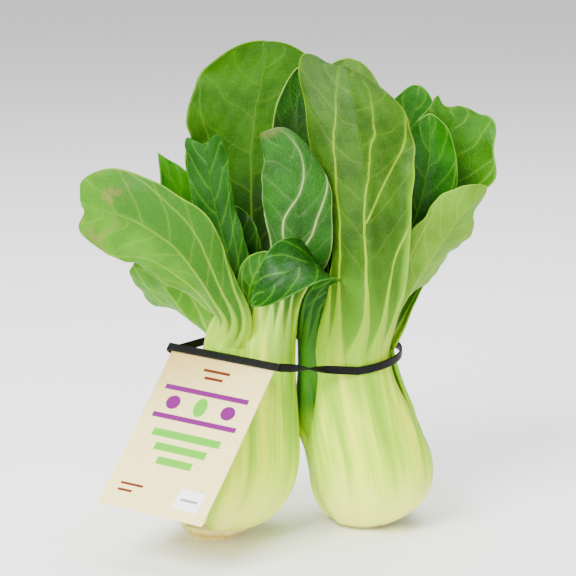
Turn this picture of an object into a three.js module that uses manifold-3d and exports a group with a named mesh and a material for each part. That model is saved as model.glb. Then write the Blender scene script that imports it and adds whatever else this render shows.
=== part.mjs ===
// Two heads of Shanghai bok choy bound at the necks by one flat black strap that carries a card tag.
// Millimetres, +Z up, the cut ends of both heads flat on z = 0, the tag on the -Y side.
// Every leaf is one closed body: a thick pale stalk hugging the head below the neck, then a thin blade
// that follows its midrib.
import * as THREE from "three";
import Module from "manifold-3d";

const wasm = await Module();
wasm.setup();
const { Manifold, Mesh } = wasm;

// ---- driving dimensions (mm)
const LEAF_EDGE = 1; // thickness at the margin of a stalk
const BLADE = 0.9; // thickness of a blade between its ribs
const LAYER_GAP = 1; // space left between stacked stalks
const CLEARANCE = 0.3; // least space between any two bodies
const CELLS = [-1, -0.84, -0.55, -0.22, 0, 0.22, 0.55, 0.84, 1]; // columns across a leaf
const MIDDLE_CELL = (CELLS.length - 1) / 2;
const STALK_ROWS = [0, 0.05, 0.12, 0.21, 0.34, 0.5, 0.67, 0.84, 1]; // share of the stalk's height
const BLADE_ROWS = 9;
const RIB_FADE = 0.28; // share of the blade in which the stalk's thickness fades into the midrib's
const STRAP_TALL = 3.6;
const STRAP_THICK = 0.9;
const TAG_WIDE = 50.8;
const TAG_LONG = 80.5;
const TAG_THICK = 0.8;
const CENTRE_X = 1.83; // middle of the bunch in the working frame, moved onto the origin at the end
const CENTRE_Y = -18.36;

// Half angle (degrees) of the head covered by a stalk, by height.
const OUTER = [[0, 55], [12, 68], [30, 74], [50, 70], [68, 62], [84, 52]];
const MIDDLE = [[0, 45], [12, 55], [30, 60], [50, 56], [68, 50], [84, 44]];
const SMALL = [[0, 40], [30, 48], [60, 44], [84, 38]];

// ---- the two heads: axis points, outline radius, stem plate radius and stalk depth, all by height
const RIGHT_HEAD = {
  neck: 80,
  foot: 12.2, // radius of the cut end
  axis: [
    [34.5, 3, 0], [37.4, 2.8, 8], [38.6, 2.5, 17], [38.2, 2.2, 26], [36.7, 2, 35],
    [34.4, 1.6, 45], [32.4, 1.2, 56], [30.3, 0.6, 67], [28.4, 0, 80],
  ],
  squash: [[0, 0], [80, 0]], // how much flatter it is from front to back
  bulb: [
    [0, 13], [5, 20], [12, 26], [20, 29], [30, 30],
    [40, 29.3], [50, 27.5], [60, 24.8], [70, 22.2], [80, 20.8],
  ],
  stem: [[0, 8], [2, 8.6], [6, 8], [12, 5.6], [18, 3.6], [24, 2], [30, 0.5], [80, 0.5]],
  depth: [[0, 4], [12, 6], [25, 8], [45, 7], [80, 4.6]],
};
const LEFT_HEAD = {
  neck: 84,
  foot: 11.5,
  axis: [[-31, -15, 0], [-19, -9, 33], [-14.5, -2.2, 84]],
  squash: [[0, 0], [33, 0], [70, 0.15], [84, 0.17]],
  bulb: [
    [0, 10], [5, 17.4], [6.5, 20.5], [9, 24], [13, 26.6], [18, 27.8], [24, 28],
    [33, 27.2], [45, 25.2], [60, 23.2], [72, 22], [84, 21.6],
  ],
  stem: [[0, 11], [2, 13.8], [5, 16.6], [8, 13.5], [12, 8], [18, 4.8], [24, 2.4], [30, 0.5], [84, 0.5]],
  depth: [[0, 4], [12, 5.5], [25, 7], [45, 5.8], [84, 3.5]],
};

// ---- the leaves, outermost first
// side: where the stalk sits round the head (degrees, 0 = front, 90 = +X); start: height of its foot;
// hug: half angle of the head it covers; thick: share of the full stalk depth; lobe: how far its sides
// draw in; midrib: points from just above the neck to the tip; back: direction the outer face looks, by
// share of the blade; wide: half width; tip: where the blade starts to round off and how squarely;
// cup, curlLeft, curlRight: bend across the blade and of its margins (radians); skew, bow: how far a
// row of the blade runs ahead at its sides; wave, beat: height and count of the margin's ruffles.
const RIGHT_LEAVES = [
  {
    name: "right_leaf_front",
    side: 5,
    start: 1.5,
    hug: [[0, 58], [12, 70], [30, 73], [40, 69], [50, 60], [60, 55], [70, 51], [80, 54]],
    lobe: 0.05,
    midrib: [
      [33.5, -23, 99.5], [36, -23, 119], [36, -22, 142.5], [33, -18, 165.5], [30, -12, 185.5],
      [26, -3, 203.5],
    ],
    back: [[0.5, [0, -1, 0.05]], [1, [0, -1, 0.1]]],
    wide: [[0.12, 19.5], [0.3, 18], [0.46, 19.5], [0.64, 22.5], [0.83, 22.5], [1, 20]],
    tip: [0.83, 3.3],
    cup: [[0, 1.1], [0.3, 0.85], [0.6, 0.6], [1, 0.3]],
    curlLeft: [[0.1, 0], [0.4, 0.3]],
    curlRight: [[0, 0], [0.2, -0.8], [0.45, -2.6], [0.7, -1.2], [0.85, 0], [1, 0]],
    skew: [[0, 0], [0.5, 0], [0.85, -11], [1, -17]],
    wave: 1.3,
    beat: [2.2, 0.5],
  },
  {
    name: "right_leaf_back",
    side: 175,
    start: 1.5,
    hug: OUTER,
    midrib: [[28.5, 26, 95], [28, 38, 125], [27, 42, 156], [27.5, 41, 181], [28.5, 36, 202.5]],
    back: [[0.5, [0, 1, 0]], [1, [0, 1, 0.2]]],
    wide: [[0.2, 17], [0.55, 22], [0.8, 20.5], [1, 17]],
    tip: [0.75, 2.2],
    cup: [[0, 0.9], [0.5, 0.5], [1, 0.3]],
    wave: 2,
    beat: [2.2, 2],
  },
  {
    name: "right_leaf_inner_back",
    side: 160,
    start: 3.5,
    hug: SMALL,
    thick: 0.8,
    midrib: [[39.5, 15, 97.5], [46, 26, 127], [52, 32, 155.5], [56.5, 33, 175], [60.5, 31, 190.5]],
    back: [[0.5, [0.1, 1, 0]], [1, [0.2, 1, 0]]],
    wide: [[0.2, 9], [0.6, 17.5], [0.85, 18], [1, 16]],
    tip: [0.7, 1.8],
    cup: [[0, 0.9], [0.5, 0.5], [1, 0.4]],
    wave: 1.2,
    beat: [2.5, 1.5],
  },
  {
    name: "right_leaf_back_right",
    side: 128,
    start: 6,
    hug: MIDDLE,
    midrib: [[48.5, 8, 94], [56.5, 14, 114.5], [65, 17, 137.5], [71.5, 18, 159.5], [75, 15, 184.5]],
    back: [[0.5, [0.25, 0.95, -0.2]], [1, [0.1, 0.98, 0]]],
    wide: [[0.2, 10], [0.5, 16], [0.75, 19], [1, 18]],
    tip: [0.78, 2.4],
    cup: [[0, 0.9], [0.5, 0.5], [1, 0.2]],
    wave: 2.4,
    beat: [2.8, 1],
  },
  {
    name: "right_leaf_folded_left",
    side: -80,
    start: 2.5,
    hug: [[0, 55], [12, 68], [30, 71], [50, 64], [68, 51], [80, 38]],
    midrib: [
      [11.5, -8, 94], [14, -12, 106.5], [16, -21, 117], [11, -34, 123.5], [2.5, -43, 122],
      [-5.5, -45, 115.5], [-13.5, -43, 108],
    ],
    back: [
      [0.15, [-0.75, -0.6, 0]], [0.32, [-0.6, -0.3, -0.5]], [0.5, [-0.2, 0.6, -0.8]],
      [1, [0, 0.6, -0.8]],
    ],
    wide: [[0.15, 9.5], [0.33, 8.5], [0.5, 10], [0.65, 14], [0.8, 14], [1, 12]],
    tip: [0.7, 1.6],
    cup: [[0, 0.8], [0.4, 0.6], [1, 0.3]],
    wave: 1,
    beat: [2, 1],
  },
  {
    name: "right_leaf_low_right",
    side: 86,
    start: 9,
    hug: SMALL,
    midrib: [[47.5, -5, 95.5], [55, -8, 109.5], [65.5, -9, 126], [76, -7, 140], [87, -3, 151.5]],
    back: [[0.5, [0.45, -0.8, -0.4]], [1, [0.4, -0.8, -0.4]]],
    wide: [[0.2, 12], [0.55, 15], [0.8, 14], [1, 12]],
    tip: [0.7, 1.8],
    cup: [[0, 0.9], [0.5, 0.7], [1, 0.4]],
    wave: 2,
    beat: [3, 0],
  },
  {
    name: "right_leaf_upright_right",
    side: 94,
    start: 28,
    hug: SMALL,
    thick: 0.75,
    midrib: [[40.5, 4, 94], [49.5, 9, 116], [58.5, 9, 138], [63, 7, 160.5], [63, 4, 182]],
    back: [[0.2, [0.95, 0.25, 0]], [0.5, [0.25, 0.95, -0.1]], [1, [0.2, 0.95, 0.1]]],
    wide: [[0.12, 5.5], [0.28, 9], [0.55, 15.5], [0.78, 15.5], [1, 14]],
    tip: [0.65, 1.7],
    cup: [[0, 0.9], [0.5, 0.6], [1, 0.4]],
    wave: 1.2,
    beat: [2.5, 0],
  },
  {
    name: "right_leaf_inner_left",
    side: -140,
    start: 22,
    hug: MIDDLE,
    thick: 0.75,
    midrib: [[20.5, 14, 98], [15, 18, 124], [12.5, 19, 148.5], [14, 18, 168.5], [16.5, 16, 184]],
    back: [[0.5, [-0.3, 0.9, 0]], [1, [-0.2, 1, 0]]],
    wide: [[0.2, 11], [0.6, 16], [0.85, 15], [1, 14]],
    tip: [0.7, 2],
    cup: [[0, 0.9], [0.5, 0.5], [1, 0.4]],
    wave: 1.2,
    beat: [2.5, 1.5],
  },
  {
    name: "right_leaf_heart",
    side: -50,
    start: 6,
    hug: SMALL,
    thick: 0.75,
    midrib: [[19, 4, 100], [12.5, 3, 127], [7.5, 1, 153.5], [5.5, 2, 179.5], [7.5, 4, 202.5]],
    back: [[0.5, [-0.2, 1, 0]], [1, [-0.2, 1, 0]]],
    wide: [[0.15, 5], [0.3, 8.5], [0.55, 13], [0.8, 13], [1, 12]],
    tip: [0.7, 1.8],
    cup: [[0, 0.9], [0.5, 0.5], [1, 0.4]],
    wave: 1,
    beat: [2, 0],
  },
];

const LEFT_LEAVES = [
  {
    name: "left_leaf_front",
    side: 37,
    start: 6,
    hug: [[0, 45], [12, 54], [30, 56], [50, 54], [68, 50], [84, 44]],
    lobe: 0.08,
    midrib: [
      [-1.5, -18, 99.5], [1.5, -22, 116.5], [4.5, -25, 136.5], [5, -25, 153.5], [2, -22, 167.5],
      [-6, -19, 178],
    ],
    back: [[0.5, [0, -1, 0.05]], [1, [-0.2, -1, 0.1]]],
    wide: [[0.2, 12.5], [0.5, 15], [0.75, 15.5], [1, 13]],
    tip: [0.75, 2],
    cup: [[0, 1], [0.4, 0.6], [1, 0.3]],
    wave: 1,
    beat: [2.2, 0.5],
  },
  {
    name: "left_leaf_spread_left",
    side: -48,
    start: 8.5,
    hug: [[0, 48], [12, 60], [30, 64], [50, 58], [68, 50], [84, 42]],
    lobe: 0.1,
    midrib: [
      [-24.5, -22, 96], [-30.5, -27, 108.5], [-38, -33, 121], [-47, -37, 132.5],
      [-58.5, -38, 140.5], [-71.5, -35, 145.5], [-85.5, -30, 147.5],
    ],
    back: [[0.4, [-0.2, -0.95, -0.1]], [0.7, [0.05, -0.98, -0.2]], [1, [0.1, -1, 0]]],
    wide: [[0.12, 12.6], [0.3, 12.5], [0.42, 15], [0.55, 18], [0.72, 19], [0.87, 18.5], [1, 17.5]],
    tip: [0.82, 2.8],
    cup: [[0, 0.9], [0.4, 0.5], [1, 0.35]],
    wave: 1.8,
    beat: [2.2, 0],
  },
  {
    name: "left_leaf_back",
    side: 172,
    start: 6,
    hug: OUTER,
    midrib: [
      [-11.5, 20, 96.5], [-13.5, 27, 122.5], [-14, 28, 147], [-13, 26, 172], [-9.5, 22, 194.5],
      [-7, 16, 212],
    ],
    back: [[0.5, [0, 1, 0]], [1, [0, 1, 0.1]]],
    wide: [[0.12, 17], [0.35, 24], [0.6, 30.5], [0.8, 32], [1, 32]],
    tip: [0.66, 2.2],
    cup: [[0, 0.9], [0.5, 0.45], [1, 0.3]],
    skew: [[0, 0], [0.5, 0], [1, -3]],
    bow: [[0, 0], [0.6, 0], [1, 2]],
    wave: 2,
    beat: [2.5, 1],
  },
  {
    name: "left_leaf_low_left",
    side: -108,
    start: 10,
    hug: OUTER,
    midrib: [
      [-37, 0, 90], [-44.5, -6, 99.5], [-52, -10, 110], [-56.5, -10, 122], [-64, -6, 130.5],
      [-73, -1, 135.5],
    ],
    back: [[0.3, [-0.5, -0.8, -0.3]], [0.6, [-0.2, -0.9, -0.4]], [1, [-0.1, -0.9, -0.4]]],
    wide: [[0.15, 18], [0.35, 17.5], [0.6, 15.5], [0.85, 12], [1, 9]],
    tip: [0.72, 2],
    cup: [[0, 0.9], [0.5, 0.5], [1, 0.3]],
    wave: 2.2,
    beat: [3, 0],
  },
  {
    name: "left_leaf_small",
    side: -1,
    start: 20,
    hug: [[0, 30], [60, 28], [84, 20]],
    thick: 0.7,
    midrib: [[-14.5, -14, 95], [-15, -17.5, 105.5], [-12, -25, 117.5], [-5.5, -28, 127.5]],
    back: [[0.5, [0.1, 1, -0.2]], [1, [0, 0.8, -0.6]]],
    wide: [[0.15, 3.6], [0.4, 4.2], [0.65, 7], [0.85, 8], [1, 7]],
    tip: [0.7, 2],
    cup: [[0, 0.9], [0.5, 0.8], [1, 0.9]],
    wave: 0.6,
    beat: [2, 0],
  },
  {
    name: "left_leaf_right",
    side: 98,
    start: 9,
    hug: MIDDLE,
    midrib: [[2.5, 5, 91.5], [4, 8, 108], [3, 9, 128], [1.5, 9, 143.5], [1.5, 9, 156.5]],
    back: [[0.5, [0.4, 0.9, 0]], [1, [0.2, 1, 0]]],
    wide: [[0.2, 8], [0.6, 9.5], [0.85, 9], [1, 8]],
    tip: [0.72, 2],
    cup: [[0, 0.9], [0.5, 0.6], [1, 0.4]],
    wave: 1,
    beat: [2, 0],
  },
  {
    name: "left_leaf_inner_back",
    side: -150,
    start: 11,
    hug: MIDDLE,
    midrib: [[-23, 12, 89], [-29, 13, 107], [-36, 10, 125.5], [-43.5, 5, 144], [-54, 0, 165.5]],
    back: [[0.5, [-0.2, 0.95, -0.2]], [1, [-0.2, 0.95, -0.1]]],
    wide: [[0.2, 8.5], [0.55, 16.5], [0.8, 17], [1, 12]],
    tip: [0.55, 1.2],
    cup: [[0, 0.9], [0.5, 0.5], [1, 0.3]],
    wave: 1,
    beat: [2, 0],
  },
  {
    name: "left_leaf_torn",
    side: -38,
    start: 13,
    hug: SMALL,
    thick: 0.75,
    midrib: [
      [-20, -12, 94], [-21.5, -15, 108.5], [-24, -17, 124], [-28.5, -16, 141.5],
      [-31.5, -15, 156], [-34, -14, 172.5],
    ],
    back: [[0.4, [-0.2, -1, 0]], [1, [0.1, -1, 0]]],
    wide: [[0.2, 8.5], [0.45, 8.5], [0.75, 9], [1, 8.5]],
    tip: [0.95, 3],
    cup: [[0, 0.9], [0.5, 0.5], [1, 0.3]],
    wave: 1.2,
    beat: [4, 0],
  },
  {
    name: "left_leaf_heart",
    side: -120,
    start: 20,
    hug: SMALL,
    thick: 0.75,
    midrib: [[-15, 4, 95.5], [-18, 3, 111.5], [-20, 0, 127.5], [-22.5, -2, 143]],
    back: [[0.5, [0, 1, 0]], [1, [0, 1, 0]]],
    wide: [[0.2, 9], [0.55, 11], [1, 9]],
    tip: [0.72, 2],
    cup: [[0, 0.9], [0.5, 0.5], [1, 0.3]],
    wave: 1,
    beat: [2, 0],
  },
];

// ---- small tools
const clamp = (x, least, most) => Math.min(Math.max(x, least), most);
const ease = (x) => {
  const t = clamp(x, 0, 1);
  return t * t * (3 - 2 * t);
};

// Smooth curve through [x, value] knots; a value is a number or a list of numbers.
function curve(knots, x) {
  const last = knots.length - 1;
  const at = clamp(x, knots[0][0], knots[last][0]);
  let i = 0;
  while (i < last - 1 && at >= knots[i + 1][0]) {
    i += 1;
  }
  const h = knots[i + 1][0] - knots[i][0];
  const t = (at - knots[i][0]) / h;
  const blend = (pick) => {
    const slope = (k) => {
      const a = Math.max(k - 1, 0);
      const b = Math.min(k + 1, last);
      return (pick(b) - pick(a)) / (knots[b][0] - knots[a][0]);
    };
    const near = (2 * t ** 3 - 3 * t ** 2 + 1) * pick(i) + (t ** 3 - 2 * t ** 2 + t) * h * slope(i);
    const far = (-2 * t ** 3 + 3 * t ** 2) * pick(i + 1) + (t ** 3 - t ** 2) * h * slope(i + 1);
    return near + far;
  };
  if (!Array.isArray(knots[0][1])) {
    return blend((k) => knots[k][1]);
  }
  return knots[0][1].map((_, c) => blend((k) => knots[k][1][c]));
}

const point = (list) => new THREE.Vector3(...list);
const UP = point([0, 0, 1]);

// Level direction at a bearing in degrees: 0 looks to the front, 90 to the right.
const around = (degrees) => {
  const a = THREE.MathUtils.degToRad(degrees);
  return point([Math.sin(a), -Math.cos(a), 0]);
};
// Bearing from one direction to another, between -180 and 180 degrees.
const turnTo = (bearing, side) => THREE.MathUtils.euclideanModulo(bearing - side + 180, 360) - 180;

// ---- how the stalks of one head share its bulb: a field is a radius by bearing and by height
const BEARING_STEP = 4; // degrees
const BEARINGS = 360 / BEARING_STEP;
const LEVELS = 29;
const PLAIN_LOBE = 0.1; // how far the sides of a stalk draw in from the bulb's outline
const WIDEST_LOBE = 1.4; // share of the stalk's half width where the drawing in ends
const SMOOTHINGS = 14; // how often an outer face is smoothed round the head
const HOLLOW = 2.2; // how squarely a stalk's section thins towards its margins
const STEM_SKIN = 0.4; // what a stalk leaves round the stem it grows from
const THINNEST = 0.8; // least thickness of a stalk
const MARGIN_REACH = 9; // degrees a stalk keeps free beyond its own margin
const FOOT_REACH = 3; // and below its foot

const centreOf = (head, z) => point(curve(head.axis.map((p) => [p[2], p]), z));

function openHead(head) {
  const heights = Array.from({ length: LEVELS }, (_, j) => (head.neck * j) / (LEVELS - 1));
  const outline = Array.from({ length: BEARINGS }, (_, i) => {
    const front = around(i * BEARING_STEP).y ** 2;
    return heights.map((z) => curve(head.bulb, z) * (1 - curve(head.squash, z) * front));
  });
  return { ...head, heights, outline, free: outline.map((row) => row.slice()) };
}

// Gives the leaf its outer and inner fields and takes that room away from the leaves inside it.
function settle(head, leaf) {
  const outer = head.free.map((row) => row.slice());
  const inner = head.free.map((row) => row.slice());
  head.heights.forEach((z, j) => {
    const hug = curve(leaf.hug, z);
    const shares = outer.map((_, i) => turnTo(i * BEARING_STEP, leaf.side) / hug);
    let reach = shares.map((v, i) => {
      const drawnIn = (leaf.lobe ?? PLAIN_LOBE) * Math.min(Math.abs(v), WIDEST_LOBE) ** 2;
      return Math.min(head.outline[i][j] * (1 - drawnIn), head.free[i][j]);
    });
    for (let k = 0; k < SMOOTHINGS; k++) {
      reach = reach.map((r, i) => {
        const beside = reach[(i + 1) % BEARINGS] + reach[(i + BEARINGS - 1) % BEARINGS];
        return Math.min(head.free[i][j], r / 2 + beside / 4);
      });
    }
    const depth = curve(head.depth, z) * (leaf.thick ?? 1);
    const stem = curve(head.stem, z) + STEM_SKIN;
    shares.forEach((v, i) => {
      const thick = LEAF_EDGE + (depth - LEAF_EDGE) * clamp(1 - Math.abs(v) ** HOLLOW, 0, 1);
      inner[i][j] = Math.max(reach[i] - thick, stem);
      outer[i][j] = Math.max(reach[i], inner[i][j] + THINNEST);
      if (Math.abs(v) * hug <= hug + MARGIN_REACH && z >= leaf.start - FOOT_REACH) {
        head.free[i][j] = Math.min(head.free[i][j], inner[i][j] - LAYER_GAP);
      }
    });
  });
  return { outer, inner };
}

// The field's radius at any bearing and height.
function radius(head, field, bearing, z) {
  const i = THREE.MathUtils.euclideanModulo(bearing, 360) / BEARING_STEP;
  const j = (z / head.neck) * (LEVELS - 1);
  const low = clamp(Math.floor(j), 0, LEVELS - 2);
  const here = field[Math.floor(i) % BEARINGS];
  const next = field[(Math.floor(i) + 1) % BEARINGS];
  const { lerp } = THREE.MathUtils;
  const part = i - Math.floor(i);
  return lerp(lerp(here[low], next[low], part), lerp(here[low + 1], next[low + 1], part), j - low);
}

// ---- one leaf as rows of points on its outer and inner face
const NECK_LEAD = 12; // how far below the neck the midrib's direction is taken from
const MIDRIB_STEPS = 200;
const TANGENT_STEP = 1.5;
const TIP_ROWS = 1.45; // how much closer the rows of a blade lie towards its tip
const TIP_WIDTH = 0.08; // share of the width left at the very tip, before rounding
const SECTION_STEPS = 40;
const CURL_FROM = 0.55; // share of the half width where a rolled margin begins
const CURL_RISE = 1.5;
const NECK_FADE = 0.3; // share of the blade in which the stalk's section fades out
const RUFFLE_FROM = 0.35; // share of the blade where its ruffles are fully grown
const RUFFLE_RISE = 2.2;
const LEFT_PHASE = 1.9; // keeps the ruffles of the two margins out of step
const RIB_HEIGHT = [[0, 4.5], [0.25, 3], [0.5, 1.9], [0.8, 1], [1, 0.3]]; // by share of the blade
const RIB_SPREAD = [[0, 0.5], [0.3, 0.2], [0.6, 0.1], [1, 0.08]]; // in half widths
const RIB_OUTSIDE = 0.7; // share of the midrib that stands out of the outer face
const LEVEL = [[0, 0], [1, 0]];

// The midrib as a function from a distance above the neck to a point, with its length.
function midribOf(below, root, points) {
  const knots = [below, root, ...points.map(point)];
  let run = 0;
  const line = knots.map((p, i) => {
    run += i ? p.distanceTo(knots[i - 1]) : 0;
    return [run, p.toArray()];
  });
  const start = line[1][0];
  const fine = Array.from({ length: MIDRIB_STEPS + 1 }, (_, k) =>
    point(curve(line, start + ((run - start) * k) / MIDRIB_STEPS)));
  const arc = [0];
  for (let k = 1; k < fine.length; k++) {
    arc.push(arc[k - 1] + fine[k].distanceTo(fine[k - 1]));
  }
  const length = arc[arc.length - 1];
  const along = (distance) => {
    const t = clamp(distance, 0, length);
    let k = 1;
    while (k < arc.length - 1 && arc[k] < t) {
      k += 1;
    }
    return fine[k - 1].clone().lerp(fine[k], (t - arc[k - 1]) / (arc[k] - arc[k - 1]));
  };
  return { along, length };
}

// Walks from the midrib to a column of the blade's bent section: [across, towards the outer face].
function bentTo(v, width, cup, curlLeft, curlRight) {
  let x = 0;
  let y = 0;
  for (let k = 0; k < SECTION_STEPS; k++) {
    const u = (v * (k + 0.5)) / SECTION_STEPS;
    const edge = clamp((Math.abs(u) - CURL_FROM) / (1 - CURL_FROM), 0, 1) ** CURL_RISE;
    const angle = cup * u + (u < 0 ? -curlLeft : curlRight) * edge;
    x += (Math.cos(angle) * width * v) / SECTION_STEPS;
    y -= (Math.sin(angle) * width * v) / SECTION_STEPS;
  }
  return [x, y];
}

// The stalk's rows, from its foot to the neck.
function stalkRows(head, leaf, fields) {
  return STALK_ROWS.map((share) => {
    const z = THREE.MathUtils.lerp(leaf.start, head.neck, share);
    const ring = (field) => CELLS.map((v) => {
      const bearing = leaf.side + v * curve(leaf.hug, z);
      return centreOf(head, z).addScaledVector(around(bearing), radius(head, field, bearing, z));
    });
    return { outer: ring(fields.outer), inner: ring(fields.inner) };
  });
}

// The blade's rows grow out of the stalk's last row; each also carries its share s of the blade.
function bladeRows(head, leaf, fields, neck) {
  const root = neck.outer[MIDDLE_CELL];
  const away = around(leaf.side);
  const across = UP.clone().cross(away);
  const lead = head.neck - NECK_LEAD;
  const below = centreOf(head, lead).addScaledVector(away, radius(head, fields.outer, leaf.side, lead));
  const { along, length } = midribOf(below, root, leaf.midrib);
  const section = neck.outer.map((p) => p.clone().sub(root));
  const halfNeck = neck.outer.reduce((sum, p, i) => sum + (i ? p.distanceTo(neck.outer[i - 1]) : 0), 0) / 2;
  const wide = [[0, halfNeck], ...leaf.wide];
  const back = [[0, away.toArray()], ...leaf.back];
  const [from, square] = leaf.tip;
  const rows = [];
  for (let i = 1; i <= BLADE_ROWS; i++) {
    const s = 1 - (1 - i / BLADE_ROWS) ** TIP_ROWS;
    const centre = along(s * length);
    const t = along(s * length + TANGENT_STEP).sub(along(s * length - TANGENT_STEP)).normalize();
    const n = point(curve(back, s));
    n.addScaledVector(t, -n.dot(t)).normalize();
    const b = t.clone().cross(n);
    const taper = 1 - Math.max(0, (s - from) / (1 - from)) ** square;
    const rounding = Math.max(TIP_WIDTH, taper) ** (1 / square);
    const width = curve(wide, s) * rounding;
    const skew = curve(leaf.skew ?? LEVEL, s) * rounding;
    const bow = curve(leaf.bow ?? LEVEL, s);
    const ruffle = leaf.wave * ease(s / RUFFLE_FROM);
    const fade = ease(s / NECK_FADE);
    const kept = (1 - fade) * (width / halfNeck);
    const outer = CELLS.map((v, q) => {
      const curls = [leaf.curlLeft ?? LEVEL, leaf.curlRight ?? LEVEL].map((knots) => curve(knots, s));
      const [x, y] = bentTo(v, width, curve(leaf.cup, s), ...curls);
      const phase = 2 * Math.PI * leaf.beat[0] * s + leaf.beat[1] + (v < 0 ? LEFT_PHASE : 0);
      const wave = ruffle * Math.abs(v) ** RUFFLE_RISE * Math.sin(phase);
      return centre.clone()
        .addScaledVector(b, kept * section[q].dot(across) + fade * x)
        .addScaledVector(n, kept * section[q].dot(away) + fade * (y + wave))
        .addScaledVector(t, skew * v + bow * v * v);
    });
    rows.push({ s, outer });
  }
  return rows;
}

// Gives the blade its thickness, with a midrib that stands out mostly on the outer face.
function thicken(leaf, stalk, blade) {
  const neck = stalk[stalk.length - 1];
  const sheet = [...stalk, ...blade].map((row) => row.outer.map((p) => p.clone()));
  const stalkThick = neck.outer.map((p, q) => p.distanceTo(neck.inner[q]));
  const normal = (j, q) => {
    const ahead = sheet[Math.min(j + 1, sheet.length - 1)][q];
    const right = sheet[j][Math.min(q + 1, CELLS.length - 1)];
    const du = ahead.clone().sub(sheet[j - 1][q]);
    const dv = right.clone().sub(sheet[j][Math.max(q - 1, 0)]);
    return dv.cross(du).normalize();
  };
  const outwards = Math.sign(normal(stalk.length - 1, MIDDLE_CELL).dot(around(leaf.side)));
  return blade.map(({ s, outer }, i) => {
    const j = stalk.length + i;
    const fade = ease(s / RIB_FADE);
    const rib = curve(RIB_HEIGHT, s) * (leaf.thick ?? 1);
    const faces = CELLS.map((v, q) => {
      const ridge = rib * Math.exp(-((v / curve(RIB_SPREAD, s)) ** 2));
      const bladeThick = BLADE + ridge * (1 - RIB_OUTSIDE);
      const down = Math.max((1 - fade) * stalkThick[q] + fade * bladeThick, BLADE);
      const n = normal(j, q).multiplyScalar(outwards);
      return {
        outer: outer[q].clone().addScaledVector(n, fade * ridge * RIB_OUTSIDE),
        inner: outer[q].clone().addScaledVector(n, -down),
      };
    });
    return { outer: faces.map((f) => f.outer), inner: faces.map((f) => f.inner) };
  });
}

function leafRows(head, leaf) {
  const fields = settle(head, leaf);
  const stalk = stalkRows(head, leaf, fields);
  const blade = bladeRows(head, leaf, fields, stalk[stalk.length - 1]);
  return [...stalk, ...thicken(leaf, stalk, blade)];
}

// ---- closed meshes as { points, triangles }
// Two grids of points closed round their rim; both faces are split along the same diagonals.
function slab(rows) {
  const cols = CELLS.length;
  const back = rows.length * cols;
  const points = [...rows.flatMap((row) => row.outer), ...rows.flatMap((row) => row.inner)];
  const triangles = [];
  for (let i = 0; i < rows.length - 1; i++) {
    for (let j = 0; j < cols - 1; j++) {
      const a = i * cols + j;
      const [b, c, d] = [a + 1, a + cols + 1, a + cols];
      const halves = (i + j) % 2 ? [[a, b, c], [a, c, d]] : [[a, b, d], [b, c, d]];
      for (const [x, y, z] of halves) {
        triangles.push([x, y, z], [x + back, z + back, y + back]);
      }
    }
  }
  const rim = [];
  for (let j = 0; j < cols; j++) rim.push(j);
  for (let i = 1; i < rows.length; i++) rim.push(i * cols + cols - 1);
  for (let j = cols - 2; j >= 0; j--) rim.push((rows.length - 1) * cols + j);
  for (let i = rows.length - 2; i > 0; i--) rim.push(i * cols);
  rim.forEach((a, k) => {
    const b = rim[(k + 1) % rim.length];
    triangles.push([b, a, a + back], [b, a + back, b + back]);
  });
  return { points, triangles };
}

// The wall between two rings of equal length that start at the given corners; turned: corners passed over.
function wall(start, end, corners, turned = 0) {
  return Array.from({ length: corners }, (_, j) => {
    const [a, b] = [start + j, start + ((j + 1) % corners)];
    const [c, d] = [end + ((j + 1 + turned) % corners), end + ((j + turned) % corners)];
    return [[a, b, c], [a, c, d]];
  }).flat();
}

// Rings of equal length joined one after the other, with a fan over each end.
function capped(rings) {
  const corners = rings[0].length;
  const last = (rings.length - 1) * corners;
  const middleOf = (ring) => ring.reduce((sum, p) => sum.add(p), new THREE.Vector3()).divideScalar(corners);
  const points = [...rings.flat(), middleOf(rings[0]), middleOf(rings[rings.length - 1])];
  const [bottom, top] = [points.length - 2, points.length - 1];
  const triangles = rings.slice(1).flatMap((_, i) => wall(i * corners, (i + 1) * corners, corners));
  for (let j = 0; j < corners; j++) {
    const next = (j + 1) % corners;
    triangles.push([bottom, next, j], [top, last + j, last + next]);
  }
  return { points, triangles };
}

// The same mesh with its faces turned to the outside.
function outwards({ points, triangles }) {
  const volume = triangles.reduce((sum, [a, b, c]) =>
    sum + points[a].dot(points[b].clone().cross(points[c])), 0);
  return { points, triangles: volume < 0 ? triangles.map(([a, b, c]) => [a, c, b]) : triangles };
}

// Every corner moved out so that each face round it moves by at least the given distance.
const SHARPEST = 0.4; // least cosine between a corner's direction and the faces round it
const NO_AREA = 1e-12;
function swollen({ points, triangles }, by) {
  const facing = points.map(() => []);
  for (const corners of triangles) {
    const [a, b, c] = corners.map((k) => points[k]);
    const n = b.clone().sub(a).cross(c.clone().sub(a));
    if (n.lengthSq() < NO_AREA) continue;
    n.normalize();
    corners.forEach((k) => facing[k].push(n));
  }
  const moved = points.map((p, k) => {
    const n = facing[k].reduce((sum, x) => sum.add(x), new THREE.Vector3()).normalize();
    const least = Math.max(SHARPEST, Math.min(...facing[k].map((x) => x.dot(n))));
    return p.clone().addScaledVector(n, by / least);
  });
  return { points: moved, triangles };
}

const solid = ({ points, triangles }) => new Manifold(new Mesh({
  numProp: 3,
  vertProperties: new Float32Array(points.flatMap((p) => p.toArray())),
  triVerts: new Uint32Array(triangles.flat()),
}));

// ---- the stems the stalks grow from, cut flat at the foot
const STEM_SIDES = 20;
const STEM_LEVELS = [0, 1, 1.1, 2.5, 5, 7, 9, 12, 15, 19, 23, 27, 30];
const CUT_TALL = 1; // height of the straight rim above the cut

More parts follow.
